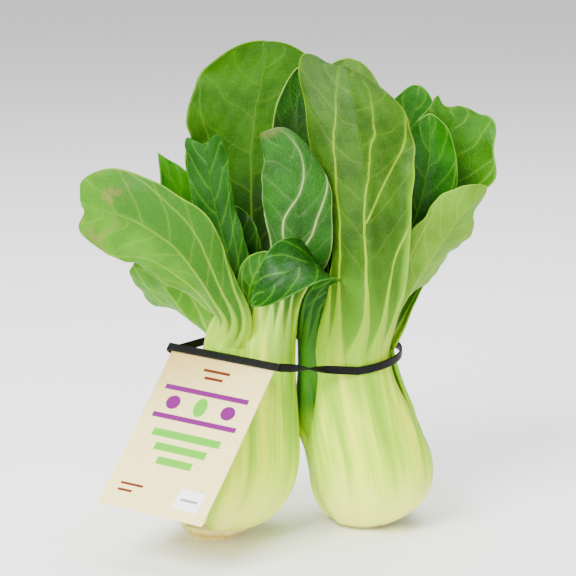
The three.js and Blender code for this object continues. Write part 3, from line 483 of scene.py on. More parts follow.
LEFT_LEAVES = [
    dict(
        name="left_leaf_front", head="left",
        side=37, start=6, hug=[(0, 45), (12, 54), (30, 56), (50, 54), (68, 50), (84, 44)],
        lobe=0.08,
        midrib=[(-1.5, -18, 99.5), (1.5, -22, 116.5), (4.5, -25, 136.5), (5, -25, 153.5),
            (2, -22, 167.5), (-6, -19, 178)],
        back=[(0.5, (0, -1, 0.05)), (1, (-0.2, -1, 0.1))],
        wide=[(0.2, 12.5), (0.5, 15), (0.75, 15.5), (1, 13)], tip=(0.75, 2),
        cup=[(0, 1), (0.4, 0.6), (1, 0.3)], wave=1, beat=(2.2, 0.5),
        bulges=[(0.86, 1, 0.12, -0.28), (0.42, 1, 0.15, 0.25), (0.42, -1, 0.15, -0.3)],
        crown=[(-0.35, 0.22, 3)],
    ),
    dict(
        name="left_leaf_spread_left", head="left",
        side=-48, start=8.5, hug=[(0, 48), (12, 60), (30, 64), (50, 58), (68, 50), (84, 42)],
        lobe=0.1,
        midrib=[(-24.5, -22, 96), (-30.5, -27, 108.5), (-38, -33, 121), (-47, -37, 132.5),
            (-58.5, -38, 140.5), (-71.5, -35, 145.5), (-85.5, -30, 147.5)],
        back=[(0.4, (-0.2, -0.95, -0.1)), (0.7, (0.05, -0.98, -0.2)), (1, (0.1, -1, 0))],
        wide=[(0.12, 12.6), (0.3, 12.5), (0.42, 15), (0.55, 18), (0.72, 19), (0.87, 18.5),
            (1, 17.5)], tip=(0.82, 2.8),
        cup=[(0, 0.9), (0.4, 0.5), (1, 0.35)], wave=1.8, beat=(2.2, 0),
        bulges=[(0.55, 1, 0.1, 0.08), (0.75, -1, 0.08, 0.06)],
        crown=[(-0.15, 0.16, -3), (0.6, 0.3, 3), (-0.65, 0.25, 2)],
    ),
    dict(
        name="left_leaf_back", head="left",
        side=172, start=6, hug=OUTER_HUG,
        midrib=[(-11.5, 20, 96.5), (-13.5, 27, 122.5), (-14, 28, 147), (-13, 26, 172),
            (-9.5, 22, 194.5), (-7, 16, 212)],
        back=[(0.5, (0, 1, 0)), (1, (0, 1, 0.1))],
        wide=[(0.12, 17), (0.35, 24), (0.6, 30.5), (0.8, 32), (1, 32)], tip=(0.66, 2.2),
        cup=[(0, 0.9), (0.5, 0.45), (1, 0.3)], wave=2, beat=(2.5, 1),
        skew=[(0, 0), (0.5, 0), (1, -3)],
        bulges=[(0.93, -1, 0.08, 0.2), (0.66, 1, 0.02, -0.07)],
        crown=[(-0.85, 0.2, 5), (-0.55, 0.2, -1)],
        bow=[(0, 0), (0.6, 0), (1, 2)],
    ),
    dict(
        name="left_leaf_low_left", head="left",
        side=-108, start=10, hug=OUTER_HUG,
        ragged=2,
        midrib=[(-37, 0, 90), (-44.5, -6, 99.5), (-52, -10, 110), (-56.5, -10, 122), (-64, -6, 130.5),
            (-73, -1, 135.5)],
        back=[(0.3, (-0.5, -0.8, -0.3)), (0.6, (-0.2, -0.9, -0.4)), (1, (-0.1, -0.9, -0.4))],
        wide=[(0.15, 18), (0.35, 17.5), (0.6, 15.5), (0.85, 12), (1, 9)], tip=(0.72, 2),
        cup=[(0, 0.9), (0.5, 0.5), (1, 0.3)], wave=2.2, beat=(3, 0),
    ),
    dict(
        name="left_leaf_small", head="left",
        side=-1, start=20, hug=[(0, 30), (60, 28), (84, 20)],
        thick=0.7,
        midrib=[(-14.5, -14, 95), (-15, -17.5, 105.5), (-12, -25, 117.5), (-5.5, -28, 127.5)],
        back=[(0.5, (0.1, 1, -0.2)), (1, (0, 0.8, -0.6))],
        wide=[(0.15, 3.6), (0.4, 4.2), (0.65, 7), (0.85, 8), (1, 7)], tip=(0.7, 2),
        cup=[(0, 0.9), (0.5, 0.8), (1, 0.9)], wave=0.6, beat=(2, 0),
    ),
    dict(
        name="left_leaf_right", head="left",
        side=98, start=9, hug=MIDDLE_HUG,
        midrib=[(2.5, 5, 91.5), (4, 8, 108), (3, 9, 128), (1.5, 9, 143.5), (1.5, 9, 156.5)],
        back=[(0.5, (0.4, 0.9, 0)), (1, (0.2, 1, 0))],
        wide=[(0.2, 8), (0.6, 9.5), (0.85, 9), (1, 8)], tip=(0.72, 2),
        cup=[(0, 0.9), (0.5, 0.6), (1, 0.4)], wave=1, beat=(2, 0),
    ),
    dict(
        name="left_leaf_inner_back", head="left",
        side=-150, start=11, hug=MIDDLE_HUG,
        ragged=2,
        midrib=[(-23, 12, 89), (-29, 13, 107), (-36, 10, 125.5), (-43.5, 5, 144), (-54, 0, 165.5)],
        back=[(0.5, (-0.2, 0.95, -0.2)), (1, (-0.2, 0.95, -0.1))],
        wide=[(0.2, 8.5), (0.55, 16.5), (0.8, 17), (1, 12)], tip=(0.55, 1.2),
        cup=[(0, 0.9), (0.5, 0.5), (1, 0.3)], wave=1, beat=(2, 0),
    ),
    dict(
        name="left_leaf_torn", head="left",
        side=-38, start=13, hug=SMALL_HUG,
        thick=0.75, ragged=2.5,
        midrib=[(-20, -12, 94), (-21.5, -15, 108.5), (-24, -17, 124), (-28.5, -16, 141.5),
            (-31.5, -15, 156), (-34, -14, 172.5)],
        back=[(0.4, (-0.2, -1, 0)), (1, (0.1, -1, 0))],
        wide=[(0.2, 8.5), (0.45, 8.5), (0.75, 9), (1, 8.5)], tip=(0.95, 3),
        cup=[(0, 0.9), (0.5, 0.5), (1, 0.3)], wave=1.2, beat=(4, 0),
        crown=[(-0.8, 0.3, 4), (0, 0.2, -1), (0.7, 0.3, 3)],
    ),
    dict(
        name="left_leaf_heart", head="left",
        side=-120, start=20, hug=SMALL_HUG,
        thick=0.75,
        midrib=[(-15, 4, 95.5), (-18, 3, 111.5), (-20, 0, 127.5), (-22.5, -2, 143)],
        back=[(0.5, (0, 1, 0)), (1, (0, 1, 0))],
        wide=[(0.2, 9), (0.55, 11), (1, 9)], tip=(0.72, 2),
        cup=[(0, 0.9), (0.5, 0.5), (1, 0.3)], wave=1, beat=(2, 0),
    ),
]
print("leaves:", len(RIGHT_LEAVES), "right,", len(LEFT_LEAVES), "left")

# %% [markdown]
# ## The shape of one leaf
#
# Below the neck a leaf follows the two radius tables of its head. Above it, the blade is swept along
# the midrib: at every row a bent cross-section is laid out square to the midrib, turned to face the way
# the leaf faces, ruffled towards its margin and blended into the stalk over its first third.

# %% The shape of one leaf
BLADE = 0.7  # mm, thickness of a blade between its ribs
SECTION_STEPS = 81
FINE_STEPS = 300
MIDRIB_RISE = [(0, 4.5), (0.25, 3), (0.5, 1.9), (0.8, 1), (1, 0.3)]  # mm, by place along the blade
MIDRIB_SPREAD = [(0, 0.5), (0.3, 0.2), (0.6, 0.1), (1, 0.08)]  # share of the half width
NECK_BLEND = 0.3  # share of the blade over which the stalk's section fades out
THICK_BLEND = 0.28  # share over which the stalk's thickness does
BELOW_NECK = 12.0  # mm, where the midrib's route begins so that it leaves the stalk smoothly
LOOK_AHEAD = 1.5  # mm to both sides, for the midrib's direction
CROWDING = 1.5  # above 1 the rows stand closer towards the tip
SMALLEST_TIP = 0.001  # half width of the last row, as a share
CURL_FROM, CURL_OVER = 0.55, 0.45  # shares of the half width: where a margin's curl begins and its extent
LEFT_LAG = 1.9  # radians between the ruffles of the two margins
CRIMP = 0.45  # mm, height of the fine crimp
CRIMP_BEAT = 3.7  # crimps to each ruffle
BROAD_NIBBLE, FINE_NIBBLE = 0.018, 0.012  # shares of the half width


def stalk_rows(head, leaf, shares, rows):
    """Outer and inner points of the stalk, row by row, and each row's height."""
    outer_field, inner_field = head.settle(leaf)
    outer, inner = [], []
    heights = np.linspace(leaf["start"], head.neck, rows)
    for z in heights:
        bearing = leaf["side"] + shares * float(through(leaf["hug"], z))
        level = np.full_like(bearing, z)
        for rows_so_far, field in ((outer, outer_field), (inner, inner_field)):
            reach = head.radius(field, bearing, level)
            rows_so_far.append(head.middle(z) + around(bearing) * reach[:, None])
    return np.array(outer), np.array(inner), heights, outer_field


def bent_section(shares, half_width, cup, curl_left, curl_right):
    """Across and outward offsets of a section that starts flat at the midrib and bends to both sides."""
    v = np.linspace(-1, 1, SECTION_STEPS)
    curl = np.where(v < 0, -curl_left, curl_right) * np.clip((np.abs(v) - CURL_FROM) / CURL_OVER, 0, 1) ** 1.5
    angle = cup * v + curl
    step = (v[1] - v[0]) * half_width
    offsets = []
    for slope in (np.cos(angle), -np.sin(angle)):
        walked = np.concatenate([[0], np.cumsum((slope[1:] + slope[:-1]) / 2 * step)])
        walked -= np.interp(0, v, walked)
        offsets.append(np.interp(shares, v, walked))
    return offsets


def margin_wave(leaf, s, shares):
    """Ruffles along the margin: the broad ones that the leaf names and a fine crimp on top."""
    beats, phase = leaf["beat"]
    left = np.where(shares < 0, LEFT_LAG, 0.0)
    broad = leaf["wave"] * np.abs(shares) ** 2.2 * np.sin(2 * math.pi * beats * s + phase + left)
    crimp_phase = 2 * math.pi * beats * CRIMP_BEAT * s + 2.3 * phase + 2 * left
    crimp = CRIMP * np.abs(shares) ** 4 * np.sin(crimp_phase)
    return (broad + crimp) * ease(s / 0.35) * (1 - ease((s - 0.9) / 0.1))


def nibbled(leaf, s, shares):
    """Ins and outs of the margin, different on the two sides, and the leaf's own bulges and bites."""
    phase = leaf["beat"][1] + leaf["side"] / 40 + np.where(shares < 0, 2.4, 0.0)
    wobble = BROAD_NIBBLE * np.sin(17 * s + phase) + FINE_NIBBLE * np.sin(41 * s + 3 * phase)
    wobble = wobble * leaf.get("ragged", 1.0) * ease((s - 0.15) / 0.2) * (1 - ease((s - 0.9) / 0.1))
    for middle, hand, spread, size in leaf.get("bulges", []):
        wobble = wobble + np.where(shares * hand > 0, size * math.exp(-(((s - middle) / spread) ** 2)), 0.0)
    return 1 + wobble * np.abs(shares) ** 2


def crowned(leaf, s, places):
    """How far the tip is drawn up or torn down at places across, in mm along the midrib."""
    rise = np.zeros_like(places)
    for middle, spread, height in leaf.get("crown", []):
        rise = rise + height * np.exp(-(((places - middle) / spread) ** 2))
    return rise * ease((s - 0.6) / 0.35)


def read(leaf, key, s):
    """One of a leaf's optional curves, which is 0 where the leaf has none."""
    return float(through(leaf[key], s)) if key in leaf else 0.0


def leaf_sheets(head, leaf, columns, rows_below, rows_above):
    """Outer and inner points [row, column] of a leaf, with the places of its rows and columns."""
    shares = np.linspace(-1, 1, columns)
    outer, inner, heights, field = stalk_rows(head, leaf, shares, rows_below)
    centre = columns // 2
    root, away = outer[-1][centre], around(leaf["side"])

    below_z = head.neck - BELOW_NECK
    below_reach = head.radius(field, np.array([float(leaf["side"])]), np.array([below_z]))[0]
    route = [head.middle(below_z) + away * below_reach, root, *[np.array(p, float) for p in leaf["midrib"]]]
    gone = np.cumsum([0] + [np.linalg.norm(b - a) for a, b in zip(route, route[1:])])
    fine = through(list(zip(gone, route)), np.linspace(gone[1], gone[-1], FINE_STEPS))
    arc = np.concatenate([[0], np.cumsum(np.linalg.norm(np.diff(fine, axis=0), axis=1))])
    length = arc[-1]

    def along(distance):
        return np.stack([np.interp(distance, arc, fine[:, k]) for k in range(3)], -1)

    up = np.array([0, 0, 1.0])
    across = np.cross(up, away)
    rest = outer[-1] - root
    half_neck = np.linalg.norm(np.diff(outer[-1], axis=0), axis=1).sum() / 2
    stalk_thick = np.linalg.norm(outer[-1] - inner[-1], axis=1)
    wide = [(0, half_neck), *leaf["wide"]]
    backs = [(0, away), *leaf["back"]]
    start_round, square = leaf["tip"]
    steps = np.linspace(0, 1, rows_above + 1)[1:]
    blade_shares = 1 - (1 - steps) ** CROWDING
    blade, half_widths = [], []
    for s in blade_shares:
        ahead = along(min(s * length + LOOK_AHEAD, length))
        t = unit(ahead - along(s * length - LOOK_AHEAD))
        n = through(backs, s)
        n = unit(n - (n @ t) * t)
        b = np.cross(t, n)
        past = max(0.0, (s - start_round) / (1 - start_round))
        rounding = max(SMALLEST_TIP, 1 - past**square) ** (1 / square)
        half_width = float(through(wide, s)) * rounding
        curls = [read(leaf, key, s) for key in ("curl_left", "curl_right")]
        x, y = bent_section(shares, half_width, float(through(leaf["cup"], s)), *curls)
        x = x * nibbled(leaf, s, shares)
        y = y + margin_wave(leaf, s, shares)
        k = ease(s / NECK_BLEND)
        grown = half_width / half_neck
        skew, bow = read(leaf, "skew", s), read(leaf, "bow", s)
        sideways = (1 - k) * (rest @ across) * grown + k * x
        outwards = (1 - k) * (rest @ away) * grown + k * y
        upwards = skew * shares * rounding + bow * shares**2 * rounding**0.5
        upwards = upwards + crowned(leaf, s, shares * rounding)
        offset = sideways[:, None] * b + outwards[:, None] * n + upwards[:, None] * t
        blade.append(along(s * length) + offset)
        half_widths.append(half_width)

    sheet = np.concatenate([outer, np.array(blade)])
    normals = np.cross(np.gradient(sheet, axis=0), np.gradient(sheet, axis=1))
    normals /= np.linalg.norm(normals, axis=2, keepdims=True)
    normals *= np.sign(normals[rows_below - 1, centre] @ away)

    s = blade_shares[:, None]
    k = ease(s / THICK_BLEND)
    rib = through(MIDRIB_RISE, blade_shares)[:, None]
    spread = through(MIDRIB_SPREAD, blade_shares)[:, None]
    ridge = rib * leaf.get("thick", 1.0) * np.exp(-((shares[None, :] / spread) ** 2))
    thick = np.maximum((1 - k) * stalk_thick[None, :] + k * (BLADE + ridge * 0.3), BLADE)
    sheet_top = sheet.copy()
    sheet_top[rows_below:] += normals[rows_below:] * (k * ridge * 0.7)[..., None]
    sheet_low = np.concatenate([inner, sheet[rows_below:] - normals[rows_below:] * thick[..., None]])

    stalk_widths = [np.linalg.norm(np.diff(row, axis=0), axis=1).sum() / 2 for row in outer]
    places = {
        "shares": shares,
        "run": np.concatenate([heights - head.neck, blade_shares * length]),
        "climb": np.concatenate([heights / head.neck - 1, blade_shares]),
        "half_widths": np.concatenate([stalk_widths, half_widths]),
        "length": length,
    }
    return sheet_top, sheet_low, places


print("blade between its ribs:", BLADE, "mm thick")

# %% [markdown]
# ## Veins
#
# The ribs of a choy leaf run up through the stalk side by side and fan out where the blade opens. Side
# veins leave the midrib higher up. Both are stored on the mesh as a running count that passes a whole
# number on every vein. Such a count changes evenly from point to point, so a finish can find the nearest
# vein far more sharply than the mesh is fine, and the same count raises the surface.

# %% Veins
FAN = [  # (climb, across) along each rib, from left to right
    [(-1, -0.62), (0, -0.62), (0.17, -0.72), (0.38, -0.96)],
    [(-1, -0.3), (0, -0.3), (0.28, -0.38), (0.55, -0.6), (0.78, -0.93)],
    [(-1, 0), (0, 0), (0.5, 0.02), (1, 0)],
    [(-1, 0.3), (0, 0.3), (0.3, 0.4), (0.6, 0.62), (0.82, 0.93)],
    [(-1, 0.62), (0, 0.62), (0.2, 0.74), (0.42, 0.97)],
]
FRONT_FAN = [  # the big right-hand leaf
    [(-1, -0.8), (0, -0.8), (0.15, -0.84), (0.3, -1.02)],
    [
        (-1, -0.46), (0, -0.46), (0.1, -0.5), (0.3, -0.72),
        (0.49, -0.66), (0.68, -0.5), (0.78, -0.42), (1, -0.2),
    ],
    [(-1, 0), (0, 0.04), (0.11, 0.1), (0.31, -0.07), (0.49, -0.1), (0.69, 0.15), (0.81, 0.3), (1, 0.42)],
    [(-1, 0.5), (0, 0.5), (0.14, 0.53), (0.32, 0.6), (0.4, 0.78), (0.48, 1.03)],
    [(-1, 0.8), (0, 0.8), (0.14, 0.86), (0.26, 1.03)],
]
WINDING_FAN = [  # the dark middle leaf: its midrib swings from side to side
    [(-1, -0.62), (0, -0.62), (0.17, -0.72), (0.38, -0.97)],
    [(-1, -0.3), (0, -0.3), (0.28, -0.42), (0.45, -0.75), (0.6, -1.02)],
    [
        (-1, 0), (0, 0), (0.3, -0.1), (0.46, -0.25), (0.54, -0.33),
        (0.6, -0.28), (0.7, 0.1), (0.79, 0.28), (1, 0.66),
    ],
    [(-1, 0.4), (0, 0.4), (0.3, 0.3), (0.46, 0.33), (0.53, 0.48), (0.63, 0.65), (0.75, 0.98)],
    [(-1, 0.72), (0, 0.7), (0.17, 0.78), (0.35, 0.98)],
]
FANS = {"right_leaf_front": FRONT_FAN, "left_leaf_front": WINDING_FAN}
FORKS = {  # one branch that leaves a rib, where a leaf has one
    "right_leaf_front": [(0.46, -0.09), (0.55, 0.22), (0.65, 0.55), (0.74, 0.78), (0.9, 0.98)],
}
RIB_NECK = 2.8  # mm, half width of a rib where it leaves the stalk
RIB_FADE = 0.14  # share of the blade over which it slims down
SIDE_VEINS = 8.0  # on each side of the midrib
FULL_WIDTH = 24  # mm, half width of a leaf whose ribs are as wide as RIB_NECK
FINEST_RIB = 0.62  # mm, half width of a rib high up
RIBS_APART = 1e-3  # share of the half width that keeps two ribs from meeting
PAST_LAST = 0.45  # of a count, how far the count goes on beyond the outermost ribs
SLANT = 0.26  # how far a side vein climbs on its way to the margin
NO_FORK = 99.0  # mm, too far to show
FORK_HALF = 0.5  # mm, half width of the branching rib


def rib_count(leaf, places, across, climb):
    """The count that is whole on every rib, and how many half widths of rib one step of it spans."""
    lines = []
    for knots in FANS.get(leaf["name"], FAN):
        (c0, a0), (c1, a1) = knots[-2:]
        lines.append(through(knots, climb) + np.maximum(climb - c1, 0) * (a1 - a0) / (c1 - c0))
    lines = np.maximum.accumulate(np.array(lines), axis=0) + np.arange(len(lines))[:, None] * RIBS_APART
    last = len(lines) - 1
    k = np.clip((lines <= across).sum(axis=0) - 1, 0, last - 1)
    low, high = lines[k, np.arange(across.size)], lines[k + 1, np.arange(across.size)]
    count = np.clip(k + (across - low) / (high - low), -PAST_LAST, last + PAST_LAST)
    half_width = np.interp(climb, places["climb"], places["half_widths"])
    scale = max(places["half_widths"]) / FULL_WIDTH
    rib = np.maximum(RIB_NECK * scale * np.exp(-climb / RIB_FADE), FINEST_RIB - 0.3 * np.clip(climb, 0, 1))
    rib = np.minimum(rib, RIB_NECK * scale)
    return count, (high - low) * half_width / rib


def fork_gap(leaf, places, across, climb):
    """Signed distance in mm across the leaf to its one branching rib."""
    knots = FORKS.get(leaf["name"])
    if knots is None:
        return np.full_like(across, NO_FORK)
    half_width = np.interp(climb, places["climb"], places["half_widths"])
    return (across - through(knots, climb)) * half_width + NO_FORK * (climb < knots[0][0])


def twig_count(leaf, places, across, climb):
    """The same for the side veins, which leave the midrib at a slant and bend upwards."""
    side = np.abs(across)
    slant = SLANT * (1 - 0.45 * np.clip(climb, 0, 1))
    count = (climb - slant * side**1.3) * SIDE_VEINS + 0.25 * np.sign(across)
    half_width = np.interp(climb, places["climb"], places["half_widths"])
    up, out = SIDE_VEINS / places["length"], SIDE_VEINS * 1.3 * slant * side**0.3 / half_width
    return count, 1 / np.hypot(up, out) / (0.4 - 0.18 * side)


def vein_gap(count, scale):
    """How far a point is from the nearest vein, in half widths of that vein."""
    return np.abs(count - np.round(count)) * scale


print("ribs in a fan:", len(FAN), "side veins on each side:", SIDE_VEINS)

# %% [markdown]
# ## From a flat grid to a leaf
#
# A leaf begins as a grid primitive with one cell per patch of tissue. Its points are laid on the outer
# face, the whole sheet is extruded once and the new layer is laid on the inner face, which gives a
# closed body with a thin rim. Subdivision Surface rounds it. Only then are the veins raised, because
# they are narrower than the cells of the first grid.

# %% From a flat grid to a leaf
CELL_ACROSS = 1.25  # mm, before subdivision
CELL_ALONG = 1.7
RIB_RISE = 0.3  # mm, height of a rib per mm of half width
GROOVE = 0.2
QUILT = 0.22  # mm, how far the tissue swells between veins
FEWEST_COLUMNS = 22
STALK_STRETCH = 1.8  # cells of the stalk are this much longer than those of the blade
VEIN_WIDTHS = ([-1, 0, 0.15, 0.5, 1], [1.4, 2.2, 1.6, 0.8, 0.4])  # mm, by place along the leaf
TWIG_HIDDEN = 6  # half widths, added where the side veins haven't begun
INSIDE = 0.5  # above this a point belongs to the inner face
RIM = 0.02  # within this of 0 or 1 a point belongs wholly to one face
CM3 = 1e6  # cubic centimetres in a cubic metre
MAP_SCALE = 0.01  # of the UV map, per mm


def corners_of(piece):
    """All the points of a mesh as one array."""
    places = np.zeros(len(piece.data.vertices) * 3, np.float32)
    piece.data.vertices.foreach_get("co", places)
    return places.reshape(-1, 3).astype(float)


def move_corners(piece, places):
    piece.data.vertices.foreach_set("co", np.asarray(places, np.float32).ravel())
    piece.data.update()


def laid_out_grid(name, outer):
    """A grid primitive whose points lie on the outer face."""
    rows, columns = outer.shape[:2]
    bpy.ops.mesh.primitive_grid_add(x_subdivisions=columns - 1, y_subdivisions=rows - 1, size=2)
    piece = bpy.context.object
    piece.name = piece.data.name = name
    flat = corners_of(piece)
    column = np.rint((flat[:, 0] + 1) / 2 * (columns - 1)).astype(int)
    row = np.rint((flat[:, 1] + 1) / 2 * (rows - 1)).astype(int)
    move_corners(piece, metres(outer[row, column]))
    return piece, row, column


def thickened(piece, inner_points):
    """Extrudes the sheet and lays the new layer on the inner face; True where a point is inner."""
    count = len(piece.data.vertices)
    bpy.ops.object.mode_set(mode="EDIT")
    bpy.ops.mesh.select_all(action="SELECT")
    bpy.ops.mesh.extrude_region()
    bpy.ops.object.mode_set(mode="OBJECT")
    places = corners_of(piece)
    inner = np.zeros(len(places), bool)
    inner[count:] = True
    places[count:] = metres(inner_points)
    move_corners(piece, places)
    return inner


def store(piece, name, values):
    """Keeps one number per point on the mesh, for the modifiers and the finishes to read."""
    attribute = piece.data.attributes.get(name) or piece.data.attributes.new(name, "FLOAT", "POINT")
    attribute.data.foreach_set("value", np.asarray(values, np.float32))


def stored(piece, name):
    values = np.zeros(len(piece.data.vertices), np.float32)
    piece.data.attributes[name].data.foreach_get("value", values)
    return values.astype(float)


def subdivided(piece, levels=1):
    modifier = piece.modifiers.new("round_off", "SUBSURF")
    modifier.levels = modifier.render_levels = levels
    bpy.ops.object.modifier_apply(modifier=modifier.name)


def facing_out(piece):
    """Turns the faces of a closed piece outwards if need be; returns its volume in cm3."""
    mesh = piece.data
    mesh.calc_loop_triangles()
    corners = corners_of(piece)
    tris = np.zeros(len(mesh.loop_triangles) * 3, np.int32)
    mesh.loop_triangles.foreach_get("vertices", tris)
    a, b, c = (corners[tris[k::3]] for k in range(3))
    volume = np.einsum("ij,ij->i", a, np.cross(b, c)).sum() / 6
    if volume < 0:
        bpy.ops.object.mode_set(mode="EDIT")
        bpy.ops.mesh.select_all(action="SELECT")
        bpy.ops.mesh.flip_normals()
        bpy.ops.object.mode_set(mode="OBJECT")
    return abs(volume) * CM3


def pattern_map(piece, x, y):
    """A UV map whose unit is 100 mm on the flattened leaf."""
    mesh = piece.data
    layer = mesh.uv_layers.active or mesh.uv_layers.new()
    layer.name = "flat"
    corner = np.zeros(len(mesh.loops), int)
    mesh.loops.foreach_get("vertex_index", corner)
    pairs = np.stack([x[corner], y[corner]], -1) * MAP_SCALE + 0.5
    layer.data.foreach_set("uv", pairs.astype(np.float32).ravel())


def grow_leaf(leaf):
    """One finished leaf mesh with its veins raised and its pattern coordinates stored."""
    head = HEADS[leaf["head"]]
    widest = max(w for _, w in leaf["wide"])
    tall = np.linalg.norm(np.array(leaf["midrib"][-1]) - head.middle(head.neck))
    columns = int(max(2 * widest / CELL_ACROSS, FEWEST_COLUMNS)) | 1
    rows_above = int(tall / CELL_ALONG)
    rows_below = int((head.neck - leaf["start"]) / (CELL_ALONG * STALK_STRETCH))
    outer, inner, places = leaf_sheets(head, leaf, columns, rows_below, rows_above)

    piece, row, column = laid_out_grid("choy_" + leaf["name"], outer)
    is_inner = thickened(piece, inner[row, column])
    row, column = np.tile(row, 2), np.tile(column, 2)
    store(piece, "across", places["shares"][column])
    store(piece, "climb", places["climb"][row])
    store(piece, "run", places["run"][row])
    store(piece, "half_width", places["half_widths"][row])
    store(piece, "inner", is_inner)
    subdivided(piece)

    volume = facing_out(piece)

    across, climb, run = stored(piece, "across"), stored(piece, "climb"), stored(piece, "run")
    x = across * stored(piece, "half_width")
    inner_side = stored(piece, "inner")
    ribs, twigs = rib_count(leaf, places, across, climb), twig_count(leaf, places, across, climb)
    for name, (count, scale) in (("rib", ribs), ("twig", twigs)):
        store(piece, name, count)
        store(piece, name + "_scale", scale)
    fork = fork_gap(leaf, places, across, climb)
    store(piece, "fork", fork)
    rib = np.minimum(vein_gap(*ribs), np.abs(fork) / FORK_HALF)
    twig = vein_gap(*twigs) + TWIG_HIDDEN * (1 - ease((climb - 0.15) / 0.25))
    width = np.interp(climb, *VEIN_WIDTHS)
    profile = np.exp(-1.3 * rib**2) + 0.45 * np.exp(-1.3 * twig**2)
    vein = np.minimum(rib, twig)
    puff = ease((vein - 1) / 3) * ease(climb / 0.2) * (1 - ease((np.abs(across) - 0.8) / 0.2))
    swell = QUILT * puff * (0.6 + 0.4 * np.sin(x * 0.9 + run * 0.35))
    raised = RIB_RISE * width * profile + swell
    sunk = -GROOVE * width * profile - 0.6 * swell
    lift = np.where(inner_side > INSIDE, sunk, raised)
    lift[(inner_side > RIM) & (inner_side < 1 - RIM)] = 0
    normals = np.zeros(len(lift) * 3, np.float32)
    piece.data.vertex_normals.foreach_get("vector", normals)
    move_corners(piece, corners_of(piece) + normals.reshape(-1, 3) * (lift * MM)[:, None])
    pattern_map(piece, x, run)
    piece.data.shade_smooth()
    print(f"{piece.name}: {len(piece.data.polygons)} faces, {volume:.1f} cm3")
    return piece


# %% [markdown]
# ## The leaf finish
#
# One recipe serves every leaf, and reads the numbers stored on its mesh. From the foot upward the stalk
# goes from cream to lime with long soft streaks, then breaks into pale ribs with green tissue between
# them. Ribs stand out most near the stalk and sink into the blade's colour towards the tip. The outer
# face of a blade is matt, the inner one darker and glossier. A leaf states its own paints, how far its
# green reaches down the stalk and how strongly its veins show.

# %% The leaf finish
STALK_FOOT = paint("f8fc7c")
STALK_MIDDLE = paint("ccf002")
STALK_NECK = paint("a0cc02")
DARK_STREAK_AND_EDGE_SHADE = paint("7cb400")
STREAK_PALE = paint("ecf41c")
BRUISE = paint("7c6238")
HEART_PAINTED_SHADE = paint("0e3402")
YOUNG_GREEN = paint("5c9c04")
FORK_INK = 0.45  # mm, half width of the branching rib as painted


def number(wire, name):
    """A number stored on the mesh."""
    return wire.node("Attribute", {"attribute_name": name}, out="Fac")


def noise(wire, place, scale, detail=2.0, rough=0.5):
    settings = {"Vector": place, "Scale": scale, "Detail": detail, "Roughness": rough}
    return wire.node("TexNoise", None, settings)


def stretched(wire, place, across, along):
    """Pattern coordinates squeezed differently across and along the leaf."""
    return wire.node("Mapping", None, {"Vector": place, "Scale": (across, along, 1.0)})


def vein(wire, name, shift):
    """Distance to the nearest vein in half widths, from the count stored on the mesh."""
    count = number(wire, name) + shift
    return abs((count + 0.5).part() - 0.5) * number(wire, name + "_scale")


